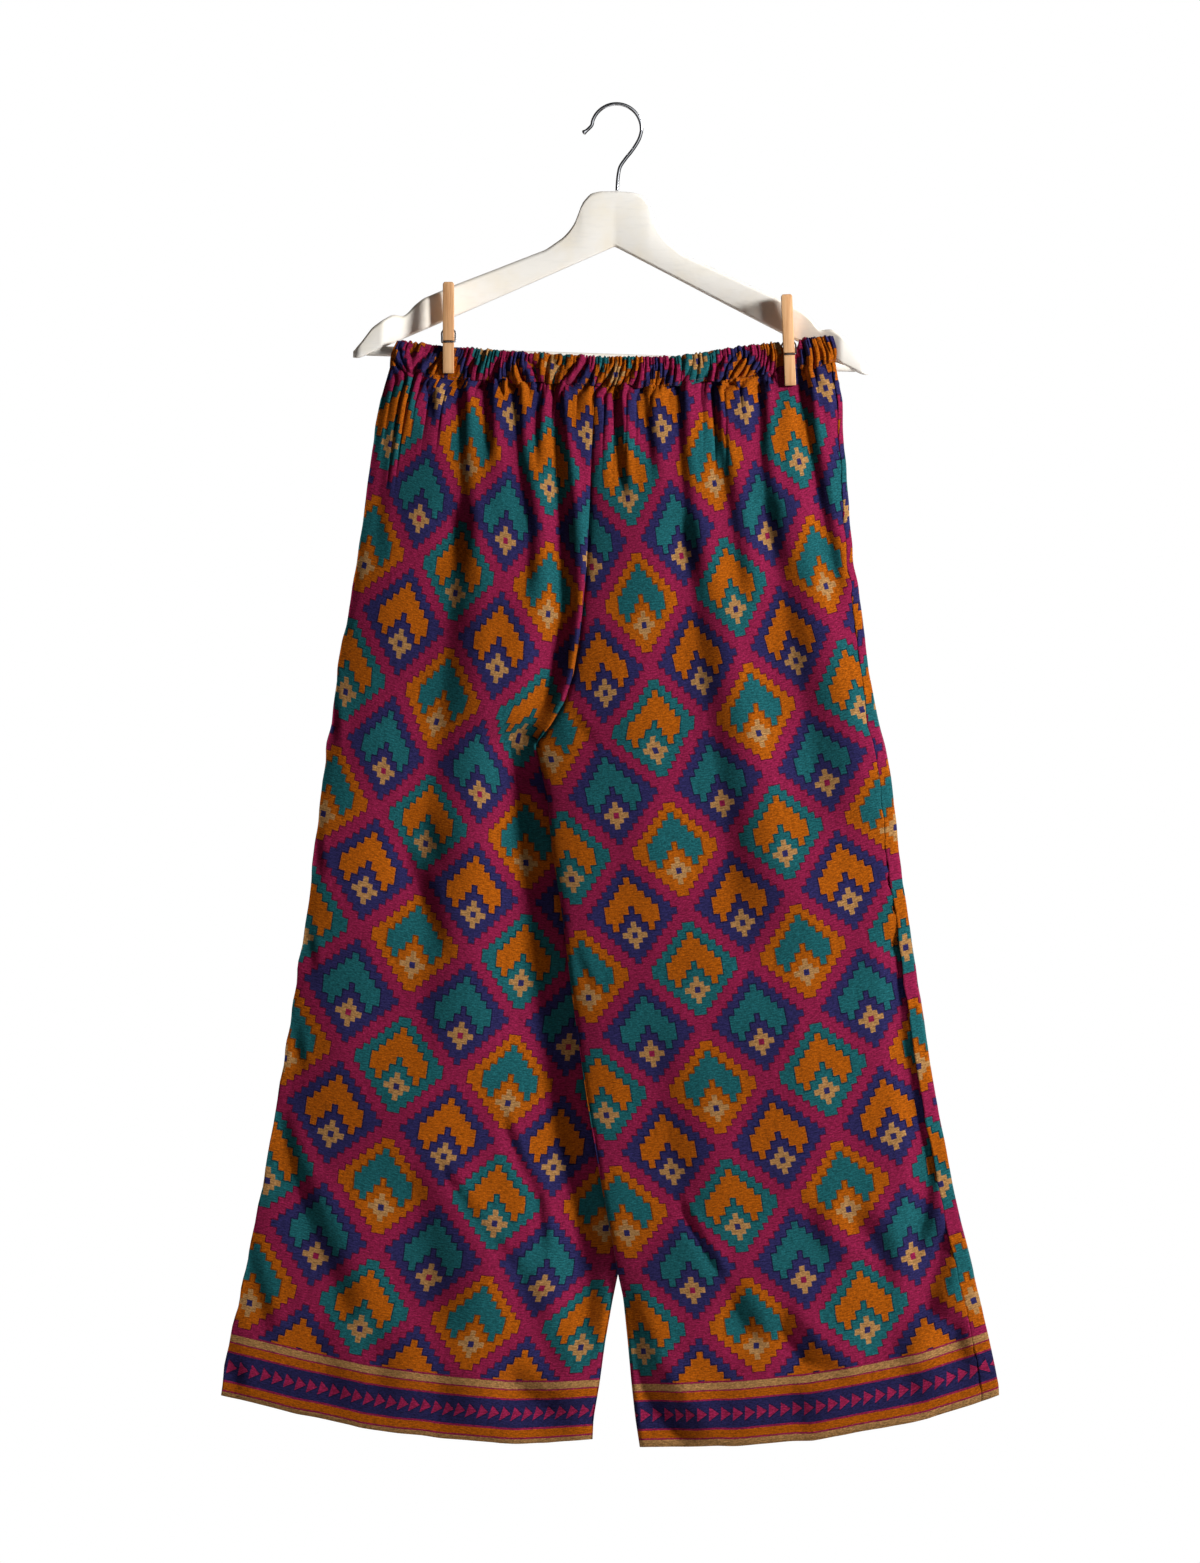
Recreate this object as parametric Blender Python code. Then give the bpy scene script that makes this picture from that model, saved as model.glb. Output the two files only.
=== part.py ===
"""Palazzo pants pegged by the waist to a wooden clothes hanger.

Metres, +Z up, -Y towards the viewer, +X to the viewer's right. The origin is where a rail carries
the hanger: the inner top of the hook. Tables are in millimetres; a "drop" is a distance below the
origin, and left and right are the viewer's.
"""

import math

import bmesh
import bpy
import numpy as np
from mathutils import Matrix, Vector

MM = 0.001
SEAM_GAP = 0.3

# Cloth
WALL = 1.2
CASING_WALL = 2.0
CLOTH_PLANE = -33.0
TIP_SHARPNESS = 0.65
WAVES_PER_PANEL = 22
SAMPLES_PER_WAVE = 3
GATHER_HEIGHT = 1.2
GATHER_LENGTH = 22.0
CASING_PUFF = 1.9
WAIST_FRONT, WAIST_BACK, WAIST_BACK_HELD = -33.4, -32.8, -30.6  # y of the cloth, free and pegged
WAIST_BOW = 8.0
BOW_HALF = 143.0
WAIST_TIP_LIFT = 2.2
TIP_LIFT_LENGTH = 18.0
CROTCH_DROP = 545.0
INNER_REACH = 2.4
WAIST_TO_LEG = 55.0
WAIST_TIP = 0.012
WAIST_HALF = 188.0
CENTRE_SEAM_X = -18.5
# The place of each side seam on its leg's loop: the left one on the outline, the right one in
# front of it, where the back comes round to the front.
SIDE_SEAM = {-1: 0.0, 1: -0.043}

# Silhouette: where the side and the inner edge of each leg run.
EDGES = (
    # drop, left side, left inner, right inner, right side
    (196, -185.0, -18.5, -18.5, 183.6),
    (220, -191.0, -18.5, -18.5, 186.0),
    (240, -197.0, -18.3, -18.3, 189.0),
    (252, -200.2, -18.9, -18.9, 191.7),
    (295, -207.5, -20.9, -20.9, 193.8),
    (346, -214.4, -22.5, -22.5, 197.5),
    (393, -221.2, -25.1, -25.1, 202.2),
    (425, -226.5, -28.1, -28.1, 207.5),
    (453, -231.6, -31.0, -31.0, 211.2),
    (484, -236.7, -36.1, -36.1, 215.0),
    (508, -240.1, -43.8, -43.8, 219.7),
    (527, -242.7, -54.8, -54.8, 223.2),
    (545, -245.7, -68.4, -68.4, 227.2),
    (566, -248.5, -65.4, -63.8, 231.0),
    (590, -251.0, -56.0, -58.6, 234.6),
    (634, -256.4, -46.3, -54.8, 239.7),
    (677, -261.6, -35.3, -47.6, 245.7),
    (762, -274.1, -20.8, -37.0, 258.0),
    (847, -287.7, -8.9, -25.0, 271.6),
    (932, -302.4, 2.1, -10.2, 288.6),
    (962, -309.0, 2.5, -4.3, 295.8),
    (992, -315.6, 1.7, 1.0, 303.0),
    (1015, -320.5, -3.2, 6.0, 308.6),
    (1052, -328.5, -9.8, 9.8, 318.0),
    (1088, -334.8, -14.6, 13.0, 324.4),
    (1118, -336.6, -19.7, 16.3, 326.4),
    (1142, -336.6, -20.8, 20.0, 326.4),
)

# Depth: where the centre seams and inseams lie, and how far each face stands out from its edges.
DEPTHS = (
    # drop, front seam, back seam, left inseam, right inseam, front bulge, back bulge
    (196, -38.0, -32.8, -33.0, -33.0, 0.0, 0.0),
    (239, -40.0, -31.5, -33.0, -33.0, 2.5, 1.5),
    (262, -42.0, -28.5, -33.0, -33.0, 7.5, 5.5),
    (300, -43.5, -26.0, -33.0, -33.0, 11.0, 9.0),
    (400, -44.0, -24.0, -33.0, -33.0, 14.0, 12.5),
    (484, -42.5, -25.0, -33.0, -33.0, 14.5, 13.5),
    (508, -40.5, -27.0, -33.0, -33.0, 15.0, 14.0),
    (527, -37.5, -29.5, -33.0, -33.0, 15.5, 14.5),
    (545, -33.0, -33.0, -33.0, -33.0, 16.0, 15.0),
    (566, -33.0, -33.0, -29.0, -37.0, 16.0, 15.0),
    (590, -33.0, -33.0, -26.0, -40.0, 16.0, 15.0),
    (800, -33.0, -33.0, -26.0, -40.0, 15.0, 15.0),
    (962, -33.0, -33.0, -27.0, -39.0, 14.0, 14.0),
    (1015, -33.0, -33.0, -30.0, -36.0, 13.5, 13.5),
    (1142, -33.0, -33.0, -32.0, -34.0, 13.0, 13.0),
)

# The waistband's top edge and the seam under its casing.
WAIST = (
    # x, top drop, seam drop
    (-190, 203.6, 223.5),
    (-140, 209.4, 231.6),
    (-70, 213.5, 236.0),
    (-8, 215.5, 239.0),
    (50, 215.0, 238.5),
    (100, 209.8, 233.0),
    (139, 205.0, 227.0),
    (154, 200.0, 224.8),
    (187, 196.8, 219.0),
)

# The hem, from the side seam to the inseam.
HEM = (
    # share across, left drop, right drop
    (0.0, 1097.0, 1097.0),
    (0.08, 1103.2, 1105.6),
    (0.2, 1112.7, 1116.8),
    (0.37, 1124.1, 1127.6),
    (0.52, 1131.0, 1135.0),
    (0.75, 1137.7, 1140.4),
    (0.87, 1137.7, 1141.6),
    (1.0, 1132.6, 1142.0),
)

# The largest folds that fall from the gathered waist. Depth is a trough where it is positive.
FOLDS = (
    # half, face, share across at the top, share at the end, width, depth, first drop, last drop
    (-1, -1, 0.18, 0.15, 0.045, 4.5, 232, 330),
    (-1, -1, 0.385, 0.45, 0.045, 7.5, 235, 620),
    (-1, -1, 0.52, 0.53, 0.040, 3.5, 236, 320),
    (-1, -1, 0.60, 0.64, 0.055, -3.5, 236, 430),
    (-1, -1, 0.74, 0.76, 0.040, 4.0, 238, 330),
    (-1, -1, 0.815, 0.955, 0.042, 12.0, 236, 500),
    (-1, -1, 0.30, 0.24, 0.080, 3.0, 560, 1010),
    (-1, -1, 0.62, 0.66, 0.090, 3.5, 600, 1060),
    (1, -1, 0.156, 0.15, 0.040, 3.5, 226, 300),
    (1, -1, 0.325, 0.28, 0.050, 6.5, 232, 480),
    (1, -1, 0.51, 0.50, 0.040, 3.0, 236, 300),
    (1, -1, 0.665, 0.60, 0.045, 8.5, 236, 450),
    (1, -1, 0.78, 0.74, 0.055, -3.0, 238, 400),
    (1, -1, 0.885, 0.88, 0.035, 4.0, 238, 300),
    (1, -1, 0.42, 0.36, 0.090, 3.0, 540, 1020),
    (1, -1, 0.72, 0.66, 0.080, 3.5, 620, 1060),
    (-1, 1, 0.14, 0.10, 0.045, 4.5, 232, 350),
    (-1, 1, 0.33, 0.30, 0.050, 7.5, 235, 560),
    (-1, 1, 0.49, 0.47, 0.045, 4.0, 236, 330),
    (-1, 1, 0.66, 0.70, 0.050, 7.0, 238, 480),
    (-1, 1, 0.84, 0.86, 0.045, 5.0, 238, 380),
    (-1, 1, 0.46, 0.52, 0.090, 3.5, 580, 1040),
    (1, 1, 0.16, 0.13, 0.045, 4.0, 228, 330),
    (1, 1, 0.29, 0.24, 0.050, 7.0, 232, 520),
    (1, 1, 0.45, 0.45, 0.045, 4.5, 236, 340),
    (1, 1, 0.60, 0.63, 0.050, 8.0, 238, 500),
    (1, 1, 0.80, 0.85, 0.045, 5.0, 238, 380),
    (1, 1, 0.55, 0.60, 0.090, 3.5, 600, 1040),
)

# Rows of the panels, by the drop at their inner edge; the first two carry every gather.
GATHERED_ROWS = 2
ROW_DROPS = (
    239, 247, 261, 290, 335, 380, 420, 453, 484, 508, 527, 545, 566, 590, 634, 690, 762, 847, 932,
    992, 1052, 1100, 1142,
)

# Hanger, in its own upright frame; the whole of it hangs a little clockwise.
HANGER_TILT = math.radians(1.9)
NECK_TOP_DROP = 73.0
HANGER_THICKNESS = 12.0
TIP_FORWARD = -25.0
TIP_FORWARD_FROM = 195.0
WING_CURVE = 3.6
SECTION_CORNER = 3.4
WINGS = (
    # x, top drop, bottom drop
    (0.0, 73.0, 120.2),
    (14.0, 73.6, 126.9),
    (22.0, 75.8, 130.8),
    (29.0, 84.0, 134.1),
    (31.5, 92.0, 135.3),
    (34.0, 100.1, 136.5),
    (38.5, 107.5, 138.7),
    (44.2, 114.1, 141.4),
    (58.5, 124.8, 148.3),
    (80.0, 134.0, 158.7),
    (105.0, 144.8, 170.7),
    (133.7, 157.1, 184.5),
    (161.4, 170.3, 197.8),
    (168.8, 176.6, 201.3),
    (174.0, 183.4, 203.8),
    (178.0, 186.4, 205.8),
    (182.5, 185.4, 207.9),
    (187.0, 185.2, 210.1),
    (195.0, 190.0, 214.0),
    (203.8, 196.8, 218.2),
    (212.3, 209.0, 222.4),
    (217.0, 214.6, 223.4),
    (219.2, 218.2, 222.6),
)
BAR_RADIUS = 4.3
BAR_HALF_LENGTH = 208.0
BAR_DROP = 216.6

WIRE_RADIUS = 1.5
HOOK_RADIUS = 21.3
HOOK_TIP = ((-28.6, -23.6), (-24.6, -20.6))
HOOK_NECK = ((18.9, -29.5), (13.6, -38.0), (7.6, -45.5), (3.2, -52.2), (1.6, -59.0), (0.9, -66.0))
ARC_START, ARC_END = math.radians(172), math.radians(-8)
ARC_STEPS = 16

# Pegs, each about the pivot of its spring.
PEG_WIDTH = 9.5
PEG_BELOW, PEG_ABOVE = 38.0, 39.8
PEG_GROOVE, GROOVE_DEPTH = -11.2, 2.0
LEG_THICKNESS = 6.0
PEG_PLANE = -29.0
PEG_HALF_GAP = 5.3
PEG_SPLAY = 0.043
PEG_PROFILE = (
    # height above the pivot, thickness of one leg
    (-PEG_BELOW, 4.2),
    (-34.0, 5.4),
    (-20.0, LEG_THICKNESS),
    (PEG_GROOVE - 1.15, LEG_THICKNESS),
    (PEG_GROOVE - 0.9, LEG_THICKNESS - GROOVE_DEPTH),
    (PEG_GROOVE + 0.9, LEG_THICKNESS - GROOVE_DEPTH),
    (PEG_GROOVE + 1.15, LEG_THICKNESS),
    (4.0, LEG_THICKNESS),
    (20.0, 5.0),
    (37.0, 3.8),
    (PEG_ABOVE, 3.0),
)
NOTCH_CLEARANCE = 0.6
NOTCH_STEPS = (0.87, 0.55, 0.0, -0.55, -0.87)  # heights round the bar's notch, in radii
SPRING_WIRE_RADIUS = 0.75
COIL_RADIUS = 3.6
COIL_TURNS, COIL_STEPS = 3.5, 10
COIL_HALF_WIDTH = 3.1
PEGS = (
    # name, x, drop of the pivot, lean of the top to the left
    ("peg_left", -142.8, 191.2, 0.0),
    ("peg_right", 146.2, 201.7, math.radians(2.4)),
)
PRESS_REACH = 15.0
PRESS_FADE = 45.0
NOTCH_REACH, NOTCH_MARGIN = 8.0, 1.2

EDGE_DROP, LEFT_SIDE, LEFT_INNER, RIGHT_INNER, RIGHT_SIDE = np.array(EDGES, float).T
DEPTH_DROP, FRONT_SEAM, BACK_SEAM, LEFT_INSEAM, RIGHT_INSEAM, FRONT_BULGE, BACK_BULGE = np.array(
    DEPTHS, float
).T
WAIST_X, WAIST_TOP, WAIST_SEAM = np.array(WAIST, float).T
HEM_SHARE, LEFT_HEM, RIGHT_HEM = np.array(HEM, float).T


def mix(first, second, share):
    return first + (second - first) * share


def smooth(value):
    value = min(1.0, max(0.0, value))
    return value * value * (3 - 2 * value)


def hanger_point(x, y, drop):
    """A point of the hanger's upright frame, turned with the hanger about the top of its neck."""
    across = x * math.cos(HANGER_TILT) - (drop - NECK_TOP_DROP) * math.sin(HANGER_TILT)
    down = x * math.sin(HANGER_TILT) + (drop - NECK_TOP_DROP) * math.cos(HANGER_TILT)
    return Vector((across, y, -NECK_TOP_DROP - down))


def bar_drop(x):
    """How far down the bar's centre line is at this x."""
    below_neck = (BAR_DROP - NECK_TOP_DROP) / math.cos(HANGER_TILT)
    return NECK_TOP_DROP + below_neck + x * math.tan(HANGER_TILT)


# ---------------------------------------------------------------- cloth


def pressed(x, drop):
    """1 where a peg presses the cloth, fading to 0 around it."""
    share = 0.0
    for _, peg_x, pivot_drop, _ in PEGS:
        beside = math.exp(-(((x - peg_x) / PRESS_REACH) ** 6))
        below = smooth(1 - (drop - pivot_drop - PEG_BELOW - 3) / PRESS_FADE)
        share = max(share, beside * below)
    return share


def jaw_face(x, drop):
    """y of the inner face of the nearer peg's front leg."""
    pivot_drop = PEGS[0][2] if x < 0 else PEGS[1][2]
    return PEG_PLANE - PEG_HALF_GAP - PEG_SPLAY * (drop - pivot_drop)


def waist_front(x, drop, wall):
    """y of the middle of the front cloth at the waist."""
    inside = WAIST_BOW * max(0.0, 1 - (x / BOW_HALF) ** 2)
    outside = WAIST_TIP_LIFT * smooth((abs(x) - BOW_HALF) / TIP_LIFT_LENGTH)
    relaxed = WAIST_FRONT - inside - outside
    held = jaw_face(x, drop) + SEAM_GAP + wall / 2
    return mix(relaxed, held, pressed(x, drop))


def waist_back(x, drop):
    """y of the middle of the back cloth at the waist, where the bar lies behind it."""
    return mix(WAIST_BACK, WAIST_BACK_HELD, pressed(x, drop))


def waist_top(x):
    """Drop of the waistband's top edge, which dips under each peg's spring."""
    top = float(np.interp(x, WAIST_X, WAIST_TOP))
    for _, peg_x, pivot_drop, _ in PEGS:
        clear = pivot_drop + COIL_RADIUS + SPRING_WIRE_RADIUS + NOTCH_MARGIN
        top = mix(top, max(top, clear), math.exp(-(((x - peg_x) / NOTCH_REACH) ** 10)))
    return top


def relief(half, face, share, drop):
    """Depth of the folds here, inwards."""
    total = 0.0
    for fold_half, fold_face, top, end, width, depth, first, last in FOLDS:
        if (fold_half, fold_face) != (half, face):
            continue
        along = (drop - first) / (last - first)
        if not 0 < along < 1:
            continue
        middle = mix(top, end, along)
        strength = smooth(along * (last - first) / 30) * smooth((1 - along) / 0.6)
        total += depth * strength * math.exp(-(((share - middle) / width) ** 2))
    return total


def gather(share):
    """One crest for each wave of the gathered edge, between -0.5 and 1."""
    crest = math.cos(2 * math.pi * WAVES_PER_PANEL * share)
    return crest * (0.8 + 0.2 * math.sin(11 * share + 1) * math.cos(17 * share))


class Panel:
    """One leg panel: half is -1 for the left leg and 1 for the right, face -1 for front, 1 for back.

    Its leg's front and back are one loop. A place on it runs from -1 at the inner edge, across the
    front to 0 at the outline, and on across the back to 1; down runs from the waist seam to the hem.
    """

    def __init__(self, half, face):
        self.half, self.face = half, face
        self.side_seam = SIDE_SEAM[half]
        self.side_x = LEFT_SIDE if half < 0 else RIGHT_SIDE
        self.inner_x = LEFT_INNER if half < 0 else RIGHT_INNER
        self.inseam_y = LEFT_INSEAM if half < 0 else RIGHT_INSEAM
        self.hem = LEFT_HEM if half < 0 else RIGHT_HEM
        self.top_side = float(np.interp(half * WAIST_HALF, WAIST_X, WAIST_SEAM))
        self.top_inner = float(np.interp(CENTRE_SEAM_X, WAIST_X, WAIST_SEAM))

    def down_of(self, inner_drop):
        down = (inner_drop - self.top_inner) / (self.hem[-1] - self.top_inner)
        return min(1.0, max(0.0, down))

    def middle_point(self, place, down):
        """The middle of the wall at this place."""
        half, side, share = self.half, 1 if place > 0 else -1, abs(place)
        side_drop = mix(self.top_side, self.hem[0], down)
        inner_drop = mix(self.top_inner, self.hem[-1], down)
        top = float(np.interp(mix(half * WAIST_HALF, CENTRE_SEAM_X, share), WAIST_X, WAIST_SEAM))
        drop = mix(top, float(np.interp(share, HEM_SHARE, self.hem)), down)
        side_x = float(np.interp(side_drop, EDGE_DROP, self.side_x))
        x = mix(side_x, float(np.interp(inner_drop, EDGE_DROP, self.inner_x)), share)
        rise_y = FRONT_SEAM if side < 0 else BACK_SEAM
        seam_y = rise_y if inner_drop < CROTCH_DROP else self.inseam_y
        inner_y = float(np.interp(inner_drop, DEPTH_DROP, seam_y))
        bulge = float(np.interp(drop, DEPTH_DROP, FRONT_BULGE if side < 0 else BACK_BULGE))
        crown = max(0.0, 4 * share * (1 - share)) ** TIP_SHARPNESS
        fold = relief(half, side, share, drop) * smooth(share / 0.05)
        leg_y = mix(CLOTH_PLANE, inner_y, share**INNER_REACH) + side * (bulge * crown - fold)
        at_waist = waist_front(x, drop, WALL) if side < 0 else waist_back(x, drop)
        at_waist = mix(CLOTH_PLANE - 0.6, at_waist, smooth(share / WAIST_TIP))
        below = drop - top
        y = mix(at_waist, leg_y, smooth(below / WAIST_TO_LEG))
        across = abs(place - self.side_seam) / (1 + abs(self.side_seam))
        wave = GATHER_HEIGHT * gather(across) * max(0.0, 1 - below / GATHER_LENGTH)
        y += side * wave * (1 - pressed(x, drop)) * smooth(share / 0.08)
        return Vector((x, y, -drop))

    def directions(self, place, down, step=1e-4):
        """The wall's unit directions outward and along the loop, away from the side seam."""
        high, low = min(1.0, place + step), max(-1.0, place - step)
        above, below = max(0.0, down - step), min(1.0, down + step)
        along = self.middle_point(high, down) - self.middle_point(low, down)
        downwards = self.middle_point(place, below) - self.middle_point(place, above)
        outward = along.cross(downwards).normalized() * -self.half
        return outward, along.normalized() * self.face

    def wall_points(self, across, down):
        """The outer and the inner point of the wall, parted from the next piece at an edge."""
        place = mix(self.side_seam, self.face, across)
        point = self.middle_point(place, down)
        outward, along = self.directions(place, down)
        inner_drop = mix(self.top_inner, self.hem[-1], down)
        if across == 0:
            point += along * (SEAM_GAP / 2)
        if across == 1 and inner_drop <= CROTCH_DROP + 1:
            point.x += self.half * (SEAM_GAP * 0.7 + WALL / 2 * abs(outward.x))
        if across == 1 and inner_drop >= CROTCH_DROP - 1:
            point.y += self.face * (SEAM_GAP / 2 + WALL / 2 * abs(outward.y))
        return point + outward * (WALL / 2), point - outward * (WALL / 2)


def join_rows(mesh, upper, lower):
    """Faces between two rows of vertices, with equal counts or several above for each one below."""
    ratio = (len(upper) - 1) // (len(lower) - 1)
    for index in range(len(lower) - 1):
        left, right = lower[index], lower[index + 1]
        above = upper[index * ratio : (index + 1) * ratio + 1]
        turn = (ratio + 1) // 2
        for step in range(ratio):
            mesh.faces.new((above[step], above[step + 1], left if step < turn else right))
        mesh.faces.new((left, above[turn], right))


def cloth_wall(name, rows, colour):
    """A closed wall through rows of (outer, inner) points."""
    mesh = bmesh.new()
    outer = [[mesh.verts.new(pair[0] * MM) for pair in row] for row in rows]
    inner = [[mesh.verts.new(pair[1] * MM) for pair in row] for row in rows]
    for upper, lower in zip(range(len(rows) - 1), range(1, len(rows))):
        join_rows(mesh, outer[upper], outer[lower])
        join_rows(mesh, inner[upper], inner[lower])
        for end in (0, -1):
            mesh.faces.new(
                (outer[upper][end], outer[lower][end], inner[lower][end], inner[upper][end])
            )
    for edge in (0, -1):
        for first in range(len(rows[edge]) - 1):
            mesh.faces.new(
                (
                    outer[edge][first],
                    outer[edge][first + 1],
                    inner[edge][first + 1],
                    inner[edge][first],
                )
            )
    return finish_mesh(name, mesh, colour, roughness=0.85)


def build_panel(name, half, face, colour):
    """A panel's wall, with a fine row of points for each gather at the top and coarse ones below."""
    panel = Panel(half, face)
    shares = [column / WAVES_PER_PANEL for column in range(WAVES_PER_PANEL + 1)]
    if face * panel.side_seam < 0:  # this panel turns the outline, so a column lies on it
        shares[1] = abs(panel.side_seam) / (1 + abs(panel.side_seam))
    fine_shares = [0.0]
    for first, second in zip(shares, shares[1:]):
        fine_shares += [
            mix(first, second, step / SAMPLES_PER_WAVE) for step in range(1, SAMPLES_PER_WAVE + 1)
        ]
    rows = []
    for number, inner_drop in enumerate(ROW_DROPS):
        down = 1.0 if number == len(ROW_DROPS) - 1 else panel.down_of(inner_drop)
        across = fine_shares if number < GATHERED_ROWS else shares
        rows.append([panel.wall_points(share, down) for share in across])
    return cloth_wall(name, rows, colour)


def build_casing(name, face, colour):
    """The gathered waistband: a plain inner face, and an outer face that puffs between gathers."""
    columns = 2 * WAVES_PER_PANEL * SAMPLES_PER_WAVE
    rows = []
    for height in (1.0, 0.5, 0.0):
        row = []
        for column in range(columns + 1):
            half = -1 if column < columns / 2 else 1
            across = abs(2 * column / columns - 1)
            flat_x = mix(CENTRE_SEAM_X, half * WAIST_HALF, across)
            side = LEFT_SIDE if half < 0 else RIGHT_SIDE
            near_x = mix(CENTRE_SEAM_X, float(np.interp(PEGS[0][2], EDGE_DROP, side)), across)
            top = waist_top(near_x)
            seam = float(np.interp(flat_x, WAIST_X, WAIST_SEAM)) - SEAM_GAP
            drop = mix(seam, top, height)
            x = mix(CENTRE_SEAM_X, float(np.interp(drop, EDGE_DROP, side)), across)
            if face < 0:
                y = waist_front(x, drop, CASING_WALL)
            else:
                y = waist_back(x, drop)
            puff = CASING_PUFF * (gather(1 - across) + 0.5) / 1.5 * (0.7 if height == 0.5 else 1.0)
            puff *= (1 - pressed(x, drop)) * smooth((1 - across) / 0.05)
            reach = CASING_WALL / 2
            row.append(
                (Vector((x, y + face * (reach + puff), -drop)), Vector((x, y - face * reach, -drop)))
            )
        rows.append(row)
    return cloth_wall(name, rows, colour)


# ---------------------------------------------------------------- hanger and pegs


def wing_section(x, top, bottom):
    """A rounded oblong round the wing at this x, with the tips of the wings brought forward."""
    forward = TIP_FORWARD * min(1.0, (abs(x) / TIP_FORWARD_FROM) ** WING_CURVE)
    half_depth, half_height = HANGER_THICKNESS / 2, (bottom - top) / 2
    corner = min(SECTION_CORNER, half_height * 0.8)
    middle = (top + bottom) / 2
    corners = (
        (half_depth, half_height - corner),
        (half_depth - corner, half_height),
        (corner - half_depth, half_height),
        (-half_depth, half_height - corner),
        (-half_depth, corner - half_height),
        (corner - half_depth, -half_height),
        (half_depth - corner, -half_height),
        (half_depth, corner - half_height),
    )
    return [hanger_point(x, forward + depth, middle - rise) for depth, rise in corners]


def build_hanger_body():
    stations = [(-x, top, bottom) for x, top, bottom in reversed(WINGS[1:])] + list(WINGS)
    mesh = bmesh.new()
    rings = []
    for x, top, bottom in stations:
        rings.append([mesh.verts.new(point * MM) for point in wing_section(x, top, bottom)])
    for first, second in zip(rings, rings[1:]):
        for index in range(len(first)):
            after = (index + 1) % len(first)
            mesh.faces.new((first[index], first[after], second[after], second[index]))
    mesh.faces.new(rings[0])
    mesh.faces.new(rings[-1])
    body = finish_mesh("hanger_body", mesh, (0.86, 0.84, 0.80), roughness=0.35)
    for side in (-1, 1):
        cutter = cylinder(
            f"cutter_bar_{'left' if side < 0 else 'right'}",
            hanger_point(side * (BAR_HALF_LENGTH + SEAM_GAP), TIP_FORWARD, BAR_DROP),
            hanger_point(side * (BAR_HALF_LENGTH - 40), TIP_FORWARD, BAR_DROP),
            BAR_RADIUS + SEAM_GAP,
            (0.5, 0.5, 0.5),
        )
        cutter.hide_render = True
        cutter.display_type = "WIRE"
        cut = body.modifiers.new("bar socket", "BOOLEAN")
        cut.operation = "DIFFERENCE"
        cut.object = cutter
    return body


def cylinder(name, start, end, radius, colour, sides=16):
    mesh = bmesh.new()
    axis = end - start
    turn = axis.to_track_quat("Z", "Y").to_matrix().to_4x4()
    place = Matrix.Translation((start + end) / 2 * MM) @ turn
    bmesh.ops.create_cone(
        mesh,
        cap_ends=True,
        segments=sides,
        radius1=radius * MM,
        radius2=radius * MM,
        depth=axis.length * MM,
        matrix=place,
    )
    return finish_mesh(name, mesh, colour, roughness=0.4)


def build_bar():
    left = hanger_point(-BAR_HALF_LENGTH, TIP_FORWARD, BAR_DROP)
    right = hanger_point(BAR_HALF_LENGTH, TIP_FORWARD, BAR_DROP)
    return cylinder("hanger_bar", left, right, BAR_RADIUS, (0.86, 0.84, 0.80))


def build_hook():
    """One wire: a flared tip, most of a circle, and an ogee down into the neck."""
    centre_z = WIRE_RADIUS - HOOK_RADIUS
    points = [Vector((x, 0, z)) for x, z in HOOK_TIP]
    for step in range(ARC_STEPS + 1):
        angle = mix(ARC_START, ARC_END, step / ARC_STEPS)
        points.append(
            Vector((HOOK_RADIUS * math.cos(angle), 0, centre_z + HOOK_RADIUS * math.sin(angle)))
        )
    points += [Vector((x, 0, z)) for x, z in HOOK_NECK]
    points.append(Vector((0.6, 0, SEAM_GAP - NECK_TOP_DROP)))
    return wire("hanger_hook", points, WIRE_RADIUS, (0.75, 0.75, 0.77))


def wire(name, points, radius, colour, resolution=3):
    curve = bpy.data.curves.new(name, "CURVE")
    curve.dimensions = "3D"
    curve.bevel_depth = radius * MM
    curve.bevel_resolution = resolution
    curve.use_fill_caps = True
    spline = curve.splines.new("POLY")
    spline.points.add(len(points) - 1)
    for target, point in zip(spline.points, points):
        target.co = (*(point * MM), 1)
    curve.materials.append(material(name, colour, 0.25, metallic=1.0))
    made = bpy.data.objects.new(name, curve)
    bpy.context.collection.objects.link(made)
    return made


def peg_frame(x, pivot_drop, lean):
    """Places a peg's own frame: x across, y depth from the peg's mid plane, z above the pivot."""
    return Matrix.Translation((x, PEG_PLANE, -pivot_drop)) @ Matrix.Rotation(-lean, 4, "Y")


def build_peg_leg(name, frame, face, bar_below):
    """One leg: an outer face with a groove for the wire, an inner face with a notch for the bar."""
    mesh = bmesh.new()
    outline = []
    for height, thickness in PEG_PROFILE:
        outline.append((height, PEG_HALF_GAP - PEG_SPLAY * height + thickness))
    outline.append((PEG_ABOVE, PEG_HALF_GAP - PEG_SPLAY * PEG_ABOVE))
    notch_radius = BAR_RADIUS + NOTCH_CLEARANCE
    for step in NOTCH_STEPS:
        rise = notch_radius * step
        depth = TIP_FORWARD - PEG_PLANE + math.sqrt(notch_radius**2 - rise**2)
        outline.append((rise - bar_below, depth))
    outline.append((-PEG_BELOW, PEG_HALF_GAP + PEG_SPLAY * PEG_BELOW))
    sides = []
    for across in (-PEG_WIDTH / 2, PEG_WIDTH / 2):
        ring = [Vector((across, face * depth, height)) for height, depth in outline]
        sides.append([mesh.verts.new(frame @ point * MM) for point in ring])
    mesh.faces.new(sides[0])
    mesh.faces.new(sides[1])
    for index in range(len(outline)):
        after = (index + 1) % len(outline)
        mesh.faces.new((sides[0][index], sides[0][after], sides[1][after], sides[1][index]))
    return finish_mesh(name, mesh, (0.75, 0.45, 0.25), roughness=0.6)


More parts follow.
